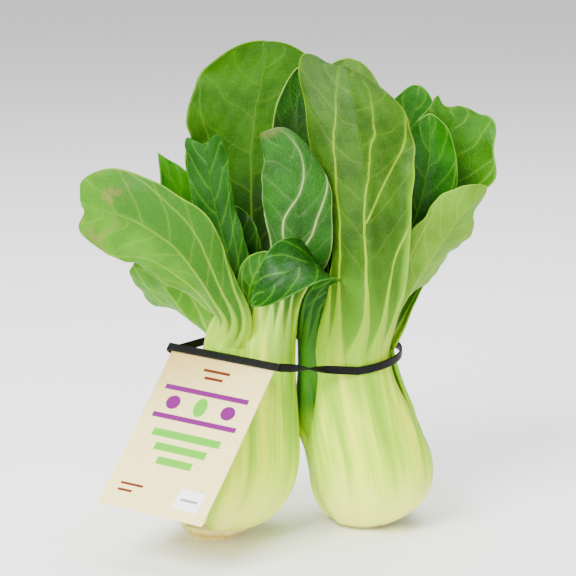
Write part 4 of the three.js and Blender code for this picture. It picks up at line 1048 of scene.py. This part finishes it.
def leaf_finish(
    name, outer, inner, rib, down=0.0, ribs=0.4, veins=0.3, blemish=0.0, gloss=0.0, deep=0.3,
    shade=(0.6, 0.1), tone=None, dry=0.0, young=0.7,
):
    """The material of one leaf. `outer` and `inner` are pairs of paints, `rib` is one paint, `down` is
    how far the green reaches below the neck, `ribs` and `veins` how strongly the main and the thin veins
    show, `deep` how strongly the inner face is darkened towards the heart of the head, painted shade of
    the recess there that is partly the heart's own darker green, and `shade` the two heights between
    which it darkens. `tone` is a paint for one side of the blade, the two places across between which it
    comes in and the two heights between which it fades. `dry` browns the very tip and `young` lightens
    the outer face next to the stalk."""
    soft = {"Specular_IOR_Level": 0.15, "Subsurface_Weight": 0.1, "Subsurface_Scale": 0.003}
    material, wire, shader = sheen(name, **soft)
    shader.inputs["Subsurface Radius"].default_value = (0.8, 1.0, 0.25)
    flat = wire.node("UVMap", {"uv_map": "flat"})
    across, climb, inside = number(wire, "across"), number(wire, "climb"), number(wire, "inner")
    side = abs(across)
    wander = noise(wire, flat, 9.0, 1.0) - 0.5
    rib_gap, twig_gap = vein(wire, "rib", wander * 0.1), vein(wire, "twig", wander * 0.35)
    rib_gap = rib_gap.least(abs(number(wire, "fork")) / FORK_INK)

    # stalk: cream foot, lime neck, long soft streaks
    streaks = noise(wire, stretched(wire, flat, 15.0, 0.8), 1.0, 3.0, 0.6)
    broad = noise(wire, stretched(wire, flat, 7.0, 0.7), 1.0, 1.0)
    low = (climb + 0.35 * (broad - 0.5)).ramp(-1.0, -0.55)
    high = (climb + 0.5 * (broad - 0.5)).ramp(-0.6, 0.0)
    stalk = low.blend(STALK_FOOT, STALK_MIDDLE)
    stalk = high.blend(stalk, STALK_NECK)
    stalk = (streaks.ramp(0.42, 0.64) * 0.85 * climb.ramp(-0.95, -0.4)).blend(stalk, DARK_STREAK_AND_EDGE_SHADE)
    stalk = (streaks.ramp(0.54, 0.3) * 0.7).blend(stalk, STREAK_PALE)
    # darker green towards the stalk's two edges: painted shade where the rounded stalk turns from the light,
    # partly the thinner margin's own deeper green
    stalk = (side.ramp(0.7, 1.0) * 0.65).blend(stalk, DARK_STREAK_AND_EDGE_SHADE)

    # blade: two greens on each face, a fine mesh of veins
    blotch = noise(wire, flat, 7.0, 3.0, 0.55)
    patch = blotch.ramp(0.36, 0.64)
    outside = patch.blend(paint(outer[0]), paint(outer[1]))
    outside = (climb.ramp(0.4, 0.0) * young).blend(outside, YOUNG_GREEN)
    within = patch.blend(paint(inner[0]), paint(inner[1]))
    # inner face darker towards the heart: painted shade of the recess among the leaves, partly the heart's
    # own darker green
    within = (climb.ramp(*shade) * deep).blend(within, HEART_PAINTED_SHADE)
    blade = inside.blend(outside, within)
    if tone:
        blade = (across.ramp(*tone[1:3]) * climb.ramp(*tone[3:])).blend(blade, paint(tone[0]))
    bend = noise(wire, flat, 30.0, 2.0)
    warped = wire.node("VectorMath", {"operation": "MULTIPLY_ADD"}, {0: bend, 1: (0.03, 0.03, 0.0), 2: flat})
    net = wire.node("TexVoronoi", {"feature": "DISTANCE_TO_EDGE"}, {"Vector": warped, "Scale": 26.0})
    fine = wire.node("TexVoronoi", {"feature": "DISTANCE_TO_EDGE"}, {"Vector": warped, "Scale": 80.0})
    mesh = net.ramp(0.09, 0.01)
    low_blade = climb.ramp(0.7, 0.0)
    tint = paint(rib)
    blade = (mesh * 0.12 * veins + fine.ramp(0.12, 0.02) * 0.04).blend(blade, tint)
    rise = climb.ramp(0.16, 0.36) * side.ramp(0.0, 0.04)
    twigs = twig_gap.ramp(1.4, 0.5) + twig_gap.ramp(5.0, 1.0) * 0.2
    blade = (twigs * veins * rise).blend(blade, tint)
    rib_mask = rib_gap.ramp(1.25, 0.75) * climb.ramp(1.02, 0.7)
    blade = (rib_mask * (ribs + 0.45 * low_blade) + rib_gap.ramp(5.0, 1.0) * 0.12 * ribs).blend(blade, tint)
    blade = (side.ramp(0.955, 0.985) * climb.ramp(0.05, 0.3) * 0.45).blend(blade, tint)

    # where the stalk gives way to the blade
    start = -0.03 - down
    bare = (climb - 0.2 * side + 0.12 * (streaks - 0.5)).ramp(start + 0.1, start - 0.18)
    between = rib_gap.ramp(1.8, 0.8) * climb.ramp(0.24 - down, -0.02 - down)
    colour = bare.most(between * 0.85).blend(blade, stalk)

    # flecks and bruises
    flecked = stretched(wire, flat, 14.0, 7.0)
    spots = wire.node("TexVoronoi", None, {"Vector": flecked, "Scale": 1.0}, out="Distance")
    rare = noise(wire, flat, 11.0, 1.0).ramp(0.56, 0.66)
    colour = (spots.ramp(0.1, 0.04) * rare * 0.6).blend(colour, BRUISE)
    old = noise(wire, flat, 9.0, 4.0, 0.7)
    colour = (old.ramp(0.5, 0.66) * climb.ramp(0.68, 0.9) * blemish).blend(colour, BRUISE)
    colour = ((climb + 0.06 * old).ramp(0.98, 1.01) * dry).blend(colour, BRUISE)
    wire.feed(shader.inputs["Base Color"], colour)

    # waxy stalk, matt outer face, shining inner face
    wire.feed(shader.inputs["Roughness"], 0.52 - gloss - 0.12 * inside - 0.06 * bare + 0.1 * (blotch - 0.5))
    height = mesh * -0.35 + streaks * 0.5 * bare + rib_mask * 0.4 + noise(wire, flat, 160.0, 2.0) * 0.15
    bump = wire.node("Bump", None, {"Strength": 0.35, "Distance": 0.0006, "Height": height}, out="Normal")
    wire.feed(shader.inputs["Normal"], bump)
    return material


print("stalk paints:", [tuple(round(c, 2) for c in p[:3]) for p in (STALK_FOOT, STALK_MIDDLE, STALK_NECK)])

# %% [markdown]
# ## Growing the leaves
#
# The leaves are grown in the order in which they share the bulb, outermost first, because each one takes
# its room from the next. Every finished leaf stands for its CAD solid.

# %% Growing the leaves
LOOKS = {
    "right_leaf_front": dict(
        outer=("2e5802", "224602"), inner=("5c8c1c", "4e8014"), rib="88b00c",
        down=0.1, ribs=0.5, veins=0.08, tone=("64961a", 0.76, 0.95, 0.75, 0.45),
    ),
    "right_leaf_back": dict(outer=("3c6c06", "305c04"), inner=("64903c", "558030"), rib="84a834"),
    # very dark green reaching far down the stalk: its own deep green, darkened further as painted shade of
    # the narrow gap between the two heads
    "right_leaf_folded_left": dict(
        outer=("0f4201", "0b3601"), inner=("0d4001", "093201"), rib="428414",
        down=0.5, ribs=0.0, veins=0.4, young=0.0,
    ),
    "right_leaf_low_right": dict(
        outer=("629410", "548408"), inner=("267004", "1c5c02"), rib="94b030", ribs=0.3, veins=0.2,
    ),
    "right_leaf_upright_right": dict(
        outer=("3a700c", "2c5c06"), inner=("1c6402", "145201"), rib="5c941c", down=0.1, deep=0.6,
    ),
    "right_leaf_back_right": dict(outer=("3a6e10", "2c5c08"), inner=("306c02", "245a02"), rib="6a9c24"),
    "right_leaf_inner_back": dict(
        outer=("4a7e14", "386a0a"), inner=("307020", "245e18"), rib="6a9c24", ribs=0.2,
    ),
    "right_leaf_inner_left": dict(
        outer=("3a6c0c", "2c5a04"), inner=("2a7002", "1e5e02"), rib="6fa420", veins=0.15,
    ),
    "right_leaf_heart": dict(
        outer=("32680c", "285806"), inner=("0e4402", "0a3401"), rib="90b83c", ribs=0.05, veins=0.04,
    ),
    "left_leaf_front": dict(
        outer=("165402", "0f4201"), inner=("266c04", "1c5c02"), rib="a8c874",
        down=-0.1, ribs=0.45, veins=0.05, gloss=-0.04, dry=0.25, young=0.3,
    ),
    "left_leaf_right": dict(
        outer=("266002", "1c5001"), inner=("205a02", "184a01"), rib="5c8c1c",
        down=0.05, veins=0.15, gloss=-0.2, deep=0.6,
    ),
    # its tone darkens the right part of the blade: partly its own deeper green, partly painted shade of its
    # folds
    "left_leaf_spread_left": dict(
        outer=("468204", "387202"), inner=("347c0a", "286a06"), rib="8cb428",
        ribs=0.2, veins=0.12, blemish=0.5, tone=("265e02", -0.45, 0.25, 0.98, 0.8),
    ),
    # strong painted shade low on the inner face, where the leaves around it shut out the light
    "left_leaf_back": dict(
        outer=("4c8210", "3a700a"), inner=("346a02", "285802"), rib="648c1a",
        ribs=0.3, veins=0.2, deep=0.94, shade=(0.66, 0.4),
    ),
    "left_leaf_low_left": dict(
        outer=("448004", "367202"), inner=("347c0a", "286a06"), rib="7cac28", ribs=0.3,
    ),
    "left_leaf_torn": dict(
        outer=("124e01", "0d4001"), inner=("286c06", "1e5c03"), rib="58941a", ribs=0.1, veins=0.25,
    ),
    "left_leaf_inner_back": dict(
        outer=("447410", "366408"), inner=("347e04", "287002"), rib="5c9820", ribs=0.3,
    ),
    "left_leaf_heart": dict(outer=("2a6806", "205604"), inner=("124402", "0c3601"), rib="4c801c", deep=0.8),
}
PLAIN_LOOK = dict(outer=("3a6c0c", "2c5a04"), inner=("1c5c02", "144c01"), rib="5f9420", down=0.05, deep=0.7)

LEAVES = RIGHT_LEAVES + LEFT_LEAVES
for leaf in LEAVES:
    piece = grow_leaf(leaf)
    look = LOOKS.get(leaf["name"], PLAIN_LOOK)
    piece.data.materials.append(leaf_finish(leaf["name"] + "_finish", **look))
    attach(piece, "root")
    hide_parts(leaf["name"])
print("leaves grown:", len(LEAVES))

# %% [markdown]
# ## The cut stems
#
# Under each bulb sits the short woody stem that all the stalks grow from, trimmed flat by the packer's
# knife. A disc is extruded upward in steps and scaled at each step to follow the stem's outline. Its
# sides are then dented where outer leaves were snapped off.

# %% The cut stems
STEM_SIDES = 96
STEM_STEPS = [0.35, 1, 2.5, 4, 5.5, 7, 9, 12, 15, 19, 23, 27, 30]  # mm above the floor
CUT_TALL = 1  # mm, the straight rim above the cut
SCARRED_TO = 12  # mm above the floor
SCARS = [(0.035, 5, 0.7), (0.025, 11, 2), (0.012, 23, 0)]  # (depth as a share, count round, turn)


def stem_radius(head, z):
    return head.foot if z <= CUT_TALL else float(through(head.stem, z))


def grow_stem(name, head):
    """A stem that starts as a filled circle and is extruded upward."""
    foot = metres(head.middle(0))
    bpy.ops.mesh.primitive_circle_add(
        vertices=STEM_SIDES, radius=head.foot * MM, fill_type="TRIFAN", location=foot
    )
    piece = bpy.context.object
    piece.name = piece.data.name = name
    bpy.ops.object.mode_set(mode="EDIT")
    bpy.ops.mesh.select_all(action="SELECT")
    z_before, radius_before = 0.0, head.foot
    for z in STEM_STEPS:
        step = (head.middle(z) - head.middle(z_before)) * MM
        bpy.ops.mesh.extrude_region_move(TRANSFORM_OT_translate={"value": tuple(step)})
        ratio = stem_radius(head, z) / radius_before
        bpy.ops.transform.resize(value=(ratio, ratio, 1), center_override=tuple(metres(head.middle(z))))
        z_before, radius_before = z, stem_radius(head, z)
    bpy.ops.object.mode_set(mode="OBJECT")
    bpy.ops.object.transform_apply(location=True, rotation=True, scale=True)

    corners = corners_of(piece) / MM
    shift = corners - (head.middle(0) - CENTRE)
    bearing = np.arctan2(shift[:, 0], -shift[:, 1])
    reach = np.hypot(shift[:, 0], shift[:, 1])
    scars = sum(depth * np.sin(count * bearing + turn) for depth, count, turn in SCARS)
    dents = scars * ease(reach / head.foot) * (corners[:, 2] < SCARRED_TO)
    corners[:, :2] -= shift[:, :2] * np.abs(dents)[:, None]
    move_corners(piece, corners * MM)
    facing_out(piece)
    piece.data.shade_smooth()
    bpy.ops.object.shade_smooth_by_angle(angle=math.radians(40))
    print(name, "foot radius", head.foot, "mm,", len(piece.data.polygons), "faces")
    return piece


def stem_finish():
    """Dry tan fibre with dark streaks, paler higher up the stem."""
    material, wire, shader = sheen("stem_finish", Subsurface_Weight=0.05, Subsurface_Scale=0.003)
    place = wire.node("TexCoord", out="Object")
    height = wire.node("SeparateXYZ", None, {"Vector": place}, out="Z")
    upright = wire.node("Mapping", None, {"Vector": place, "Scale": (1.0, 1.0, 0.25)})
    fibre = noise(wire, upright, 420.0, 4.0, 0.65)
    mottle = noise(wire, place, 130.0, 3.0)
    colour = mottle.ramp(0.35, 0.65).blend(paint("fcec98"), paint("ecd070"))
    colour = (fibre.ramp(0.55, 0.75) * 0.55).blend(colour, paint("8a6428"))
    colour = (height * (1 / MM)).ramp(2.0, 9.0).blend(colour, paint("f0f0a0"))
    wire.feed(shader.inputs["Base Color"], colour)
    wire.feed(shader.inputs["Roughness"], 0.75 - 0.2 * fibre)
    relief = {"Strength": 0.6, "Distance": 0.0008, "Height": fibre + mottle * 0.5}
    bump = wire.node("Bump", None, relief, out="Normal")
    wire.feed(shader.inputs["Normal"], bump)
    return material


woody = stem_finish()
for side, head in HEADS.items():
    stem = grow_stem(f"choy_{side}_stem", head)
    stem.data.materials.append(woody)
    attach(stem, "root")
    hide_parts(f"{side}_stem")

# %% [markdown]
# ## The card tag
#
# The tag is a printed card as wide as two fingers. A grid is laid on its slanting plane so that it can
# curl a little towards its loose end, then Solidify gives it the card's thickness and Bevel breaks the
# edges. The print is a generic produce label in plum, lime and brown: plain bars and discs.

# %% The card tag
TAG_WIDE, TAG_LONG, TAG_THICK = 50.8, 80.5, 0.7
TAG_CURL = 1.6  # mm that the loose end lifts
EDGE_ROUND = 0.2 * MM
tag_right, tag_left = np.array([-2.8, -31.9, 80.1]), np.array([-47.6, -6.9, 82.9])
tag_across = unit(tag_right - tag_left)
tag_hangs = np.array([-0.416, -0.567, -0.71])
tag_down = unit(tag_hangs - (tag_hangs @ tag_across) * tag_across)
tag_out = unit(np.cross(tag_down, tag_across))


def on_tag(x, y, z=0.0):
    """A point of the tag: x from its left edge, y down from its top, z off its printed face."""
    x, y, z = (np.asarray(value, float)[..., None] for value in (x, y, z))
    return tag_right + (x - TAG_WIDE) * tag_across + y * tag_down + z * tag_out


def tag_lift(x, y):
    """How far the card's middle stands off its plane, in mm."""
    return TAG_CURL * (y / TAG_LONG) ** 3 + 0.25 * np.sin(x / 9) * (y / TAG_LONG)


bpy.ops.mesh.primitive_grid_add(x_subdivisions=32, y_subdivisions=48, size=1)
tag = bpy.context.object
tag.name = tag.data.name = "choy_tag"
flat = corners_of(tag)
tag_x, tag_y = (flat[:, 0] + 0.5) * TAG_WIDE, (0.5 - flat[:, 1]) * TAG_LONG
move_corners(tag, metres(on_tag(tag_x, tag_y, tag_lift(tag_x, tag_y))))
card = tag.modifiers.new("card", "SOLIDIFY")
card.thickness, card.offset = TAG_THICK * MM, 0
bpy.ops.object.modifier_apply(modifier="card")
edge = tag.modifiers.new("edge", "BEVEL")
edge.width, edge.segments, edge.limit_method, edge.angle_limit = EDGE_ROUND, 2, "ANGLE", math.radians(50)
bpy.ops.object.modifier_apply(modifier="edge")
facing_out(tag)
bpy.ops.object.shade_smooth_by_angle(angle=math.radians(35))
corners = corners_of(tag) / MM + CENTRE - tag_right
tag_x, tag_y = corners @ tag_across + TAG_WIDE, corners @ tag_down
store(tag, "tag_x", tag_x)
store(tag, "tag_y", tag_y)
store(tag, "tag_z", corners @ tag_out - tag_lift(tag_x, tag_y))
print("tag", TAG_WIDE, "x", TAG_LONG, "mm")


# %% [markdown]
# ## The tag's finish
#
# A real card is printed with ink. An image could carry the print, but it would blur close up, so every bar
# and disc is a mask worked out from the millimetres stored on the card's own points. The stored depth
# keeps the print on the front face.

# %% The tag's finish
def tag_finish():
    """Cream card with a generic print: plum bars and discs, lime bars, brown rules, one blank patch."""
    material, wire, shader = sheen("tag_finish", Specular_IOR_Level=0.2)
    x, y, z = number(wire, "tag_x"), number(wire, "tag_y"), number(wire, "tag_z")
    place = wire.node("TexCoord", out="Object")
    front = z.ramp(-0.1, 0.1)

    def bar(left, right, top, bottom, soft=0.12):
        """A bar with square corners, in mm from the tag's top left corner."""
        off_x = abs(x - (left + right) / 2) - (right - left) / 2
        off_y = abs(y - (top + bottom) / 2) - (bottom - top) / 2
        return off_x.most(off_y).ramp(soft, -soft)

    def disc(centre_x, centre_y, radius, squeeze=1.0, soft=0.12):
        """A disc, or an upright oval where squeeze is over 1."""
        dx, dy = (x - centre_x) * squeeze, y - centre_y
        return ((dx * dx + dy * dy) ** 0.5).ramp(radius + soft, radius - soft)

    paper = noise(wire, place, 900.0, 3.0)
    fibre = noise(wire, place, 3000.0, 2.0)
    card = paper.ramp(0.3, 0.7).blend(paint("f6e08c"), paint("fcecaa"))
    ink = (y + x * 0.6).ramp(0.0, 52.0).blend(paint("ccb05c"), card)
    plum, lime, brown = paint("6c0068"), paint("54b808"), paint("642400")
    for mask, colour in (
        (bar(19, 32, 9.0, 10.4), brown),
        (bar(21, 30, 12.6, 14.0), brown),
        (bar(5, 46, 19.5, 22.0), plum),
        (bar(5, 46, 33.5, 36.0), plum),
        (disc(12, 27.7, 3.4), plum),
        (disc(25.5, 27.7, 4.6, 1.5), lime),
        (disc(39, 27.7, 3.4), plum),
        (bar(9, 42, 41, 44.6), lime),
        (bar(13, 38, 47.4, 51.0), lime),
        (bar(17, 34, 53.8, 57.4), lime),
        (bar(6, 17, 68.6, 69.8), brown),
        (bar(6, 13, 71.8, 73.0), brown),
        (bar(34, 46, 66.0, 75.5), paint("fbfbf8")),
        (bar(36, 44, 70.2, 71.4), paint("8d8d8d")),
    ):
        ink = mask.blend(ink, colour)
    colour = front.blend(card, ink)
    wire.feed(shader.inputs["Base Color"], colour)
    wire.feed(shader.inputs["Roughness"], 0.62 - 0.12 * paper)
    relief = {"Strength": 0.25, "Distance": 0.0001, "Height": paper + fibre}
    bump = wire.node("Bump", None, relief, out="Normal")
    wire.feed(shader.inputs["Normal"], bump)
    return material


tag.data.materials.append(tag_finish())
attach(tag, "root")
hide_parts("tag")
print("tag printed with plain bars and discs")

# %% [markdown]
# ## The strap
#
# A flat band of soft plastic runs round both necks, folds over the tag's left edge and follows its top.
# It makes a half turn on its way to the right neck, where it is seen edge on. The band is a grid rolled
# into a long flat sleeve: its columns go round the section and its rows follow the route, and because
# of the half turn the last row meets the first one half a section further on. Merging closes the seams.

# %% The strap
STRAP_TALL, STRAP_THICK, GAP = 3.6, 0.9, 0.3  # mm; GAP lies between the band and the card
SECTION = 24  # points round the section
STATIONS = 420  # rings along the route
BELOW_EDGE = 0.4  # mm from the tag's top edge to the band
CARD_SPARE = 0.05  # mm that the CAD model's card is thicker on each face
TURN_STEPS = 8
TURN_FROM = 0.15  # share of the way where the half turn begins
TURN_RATE = 1.3
TURN_AT = np.array([7.5, -28.4, 77.2])  # where the band is seen edge on
STRAP_OFF = TAG_THICK / 2 + CARD_SPARE + GAP + STRAP_THICK / 2
UP = np.array([0, 0, 1.0])


def neck_arc(head, z, reach, squash, start, end, steps, climb):
    """Stations on an arc round a neck, from one bearing to another: (point, direction of the band's
    height). `climb` holds their heights by share of the way."""
    arc = []
    for k in range(steps + 1):
        q = k / steps
        out = around(start + (end - start) * q)
        point = head.middle(z) + out * reach * (1 - squash * out[1] ** 2)
        point[2] = through(climb, q)
        arc.append((point, UP))
    return arc


def strap_route():
    """All the stations of the band, from the right neck round the back to the tag and home."""
    band_y = STRAP_TALL / 2 + BELOW_EDGE
    stations = neck_arc(
        HEADS["right"], z=78, reach=22.6, squash=0, start=8, end=172, steps=12,
        climb=[(0, 74.6), (0.5, 78.4), (1, 80)],
    )
    stations += neck_arc(
        HEADS["left"], z=80, reach=23.6, squash=0.16, start=184, end=240, steps=5,
        climb=[(0, 80.6), (1, 80.6)],
    )
    fold = [
        (-1.2, -STRAP_OFF - 0.5), (-2.2, -STRAP_OFF / 2),
        (-2.2, STRAP_OFF * 0.6), (-1.2, STRAP_OFF + 0.1),
    ]
    stations += [(on_tag(x, band_y, z), -tag_down) for x, z in fold]
    quarters = [0.6, TAG_WIDE / 4, TAG_WIDE / 2, TAG_WIDE * 3 / 4, TAG_WIDE, TAG_WIDE + 2]
    stations += [(on_tag(x, band_y, STRAP_OFF), -tag_down) for x in quarters]
    (leave, leave_up), (land, land_up) = stations[-1], stations[0]
    run = unit(land - leave)
    for k in range(1, TURN_STEPS + 1):
        q = k / TURN_STEPS
        point = through([(0, leave), (0.45, TURN_AT), (1, land)], q)
        height = unit(leave_up * (1 - q) + land_up * q)
        angle = math.pi * ease((q - TURN_FROM) * TURN_RATE)
        turned = height * math.cos(angle) + np.cross(run, height) * math.sin(angle)
        stations.append((point, turned + run * (run @ height) * (1 - math.cos(angle))))
    return stations


def rounded_section():
    """Points round a flat band's section, with its two narrow edges rounded: (thick, tall) in mm."""
    turn = np.linspace(0, 2 * math.pi, SECTION, endpoint=False)
    thick = np.sign(np.cos(turn)) * np.abs(np.cos(turn)) ** 0.35
    tall = np.sign(np.sin(turn)) * np.abs(np.sin(turn)) ** 0.8
    return thick * STRAP_THICK / 2, tall * STRAP_TALL / 2


stations = strap_route()
gone = np.cumsum([0] + [np.linalg.norm(b[0] - a[0]) for a, b in zip(stations, stations[1:])])
way = np.linspace(0, gone[-1], STATIONS + 1)
points = through(list(zip(gone, [s[0] for s in stations])), way)
heights = through(list(zip(gone, [s[1] for s in stations])), way)
tangents = np.gradient(points, axis=0)
tangents[0] = tangents[-1] = unit(tangents[0]) + unit(tangents[-1])
tangents /= np.linalg.norm(tangents, axis=1, keepdims=True)
heights -= np.einsum("ij,ij->i", heights, tangents)[:, None] * tangents
heights /= np.linalg.norm(heights, axis=1, keepdims=True)
faces_out = np.cross(tangents, heights)
thick, tall = rounded_section()

bpy.ops.mesh.primitive_grid_add(x_subdivisions=SECTION, y_subdivisions=STATIONS, size=2)
strap = bpy.context.object
strap.name = strap.data.name = "choy_strap"
flat = corners_of(strap)
ring = np.rint((flat[:, 1] + 1) / 2 * STATIONS).astype(int)
spoke = np.rint((flat[:, 0] + 1) / 2 * SECTION).astype(int) % SECTION
laid = points[ring] + faces_out[ring] * thick[spoke][:, None] + heights[ring] * tall[spoke][:, None]
move_corners(strap, metres(laid))
store(strap, "band", tall[spoke])
store(strap, "route", way[ring])
bpy.ops.object.mode_set(mode="EDIT")
bpy.ops.mesh.select_all(action="SELECT")
bpy.ops.mesh.remove_doubles(threshold=0.02 * MM)
bpy.ops.object.mode_set(mode="OBJECT")
facing_out(strap)
strap.data.shade_smooth()
print("strap", round(gone[-1]), "mm long,", len(strap.data.vertices), "points")


# %% [markdown]
# ## The strap's finish
#
# Such a strap is soft extruded plastic: black, finely grooved along its length and scuffed at its edges. A
# pattern in space would slide over the folds and the half turn, so the grooves read each point's place
# across the band and along its route, both stored on the mesh.

# %% The strap's finish
def strap_finish():
    """Black soft plastic with fine lengthwise grooves and worn, slightly paler edges."""
    material, wire, shader = sheen("strap_finish", Specular_IOR_Level=0.14)
    band, route = number(wire, "band"), number(wire, "route")
    place = wire.node("TexCoord", out="Object")
    grooves = (band * 10.0).sine() * 0.5 + 0.5
    crimp = (route * 5.7).sine() * 0.5 + 0.5
    scuff = noise(wire, place, 700.0, 4.0, 0.6)
    colour = scuff.ramp(0.45, 0.75).blend(paint("050605"), paint("0b0c0b"))
    colour = (abs(band).ramp(1.55, 1.8) * 0.5).blend(colour, paint("181a18"))
    wire.feed(shader.inputs["Base Color"], colour)
    wire.feed(shader.inputs["Roughness"], 0.4 + 0.2 * scuff)
    relief = {"Strength": 0.4, "Distance": 0.0002, "Height": grooves + crimp * 0.15}
    bump = wire.node("Bump", None, relief, out="Normal")
    wire.feed(shader.inputs["Normal"], bump)
    return material


strap.data.materials.append(strap_finish())
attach(strap, "root")
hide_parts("strap")

# %% Hand over
bpy.ops.object.select_all(action="DESELECT")
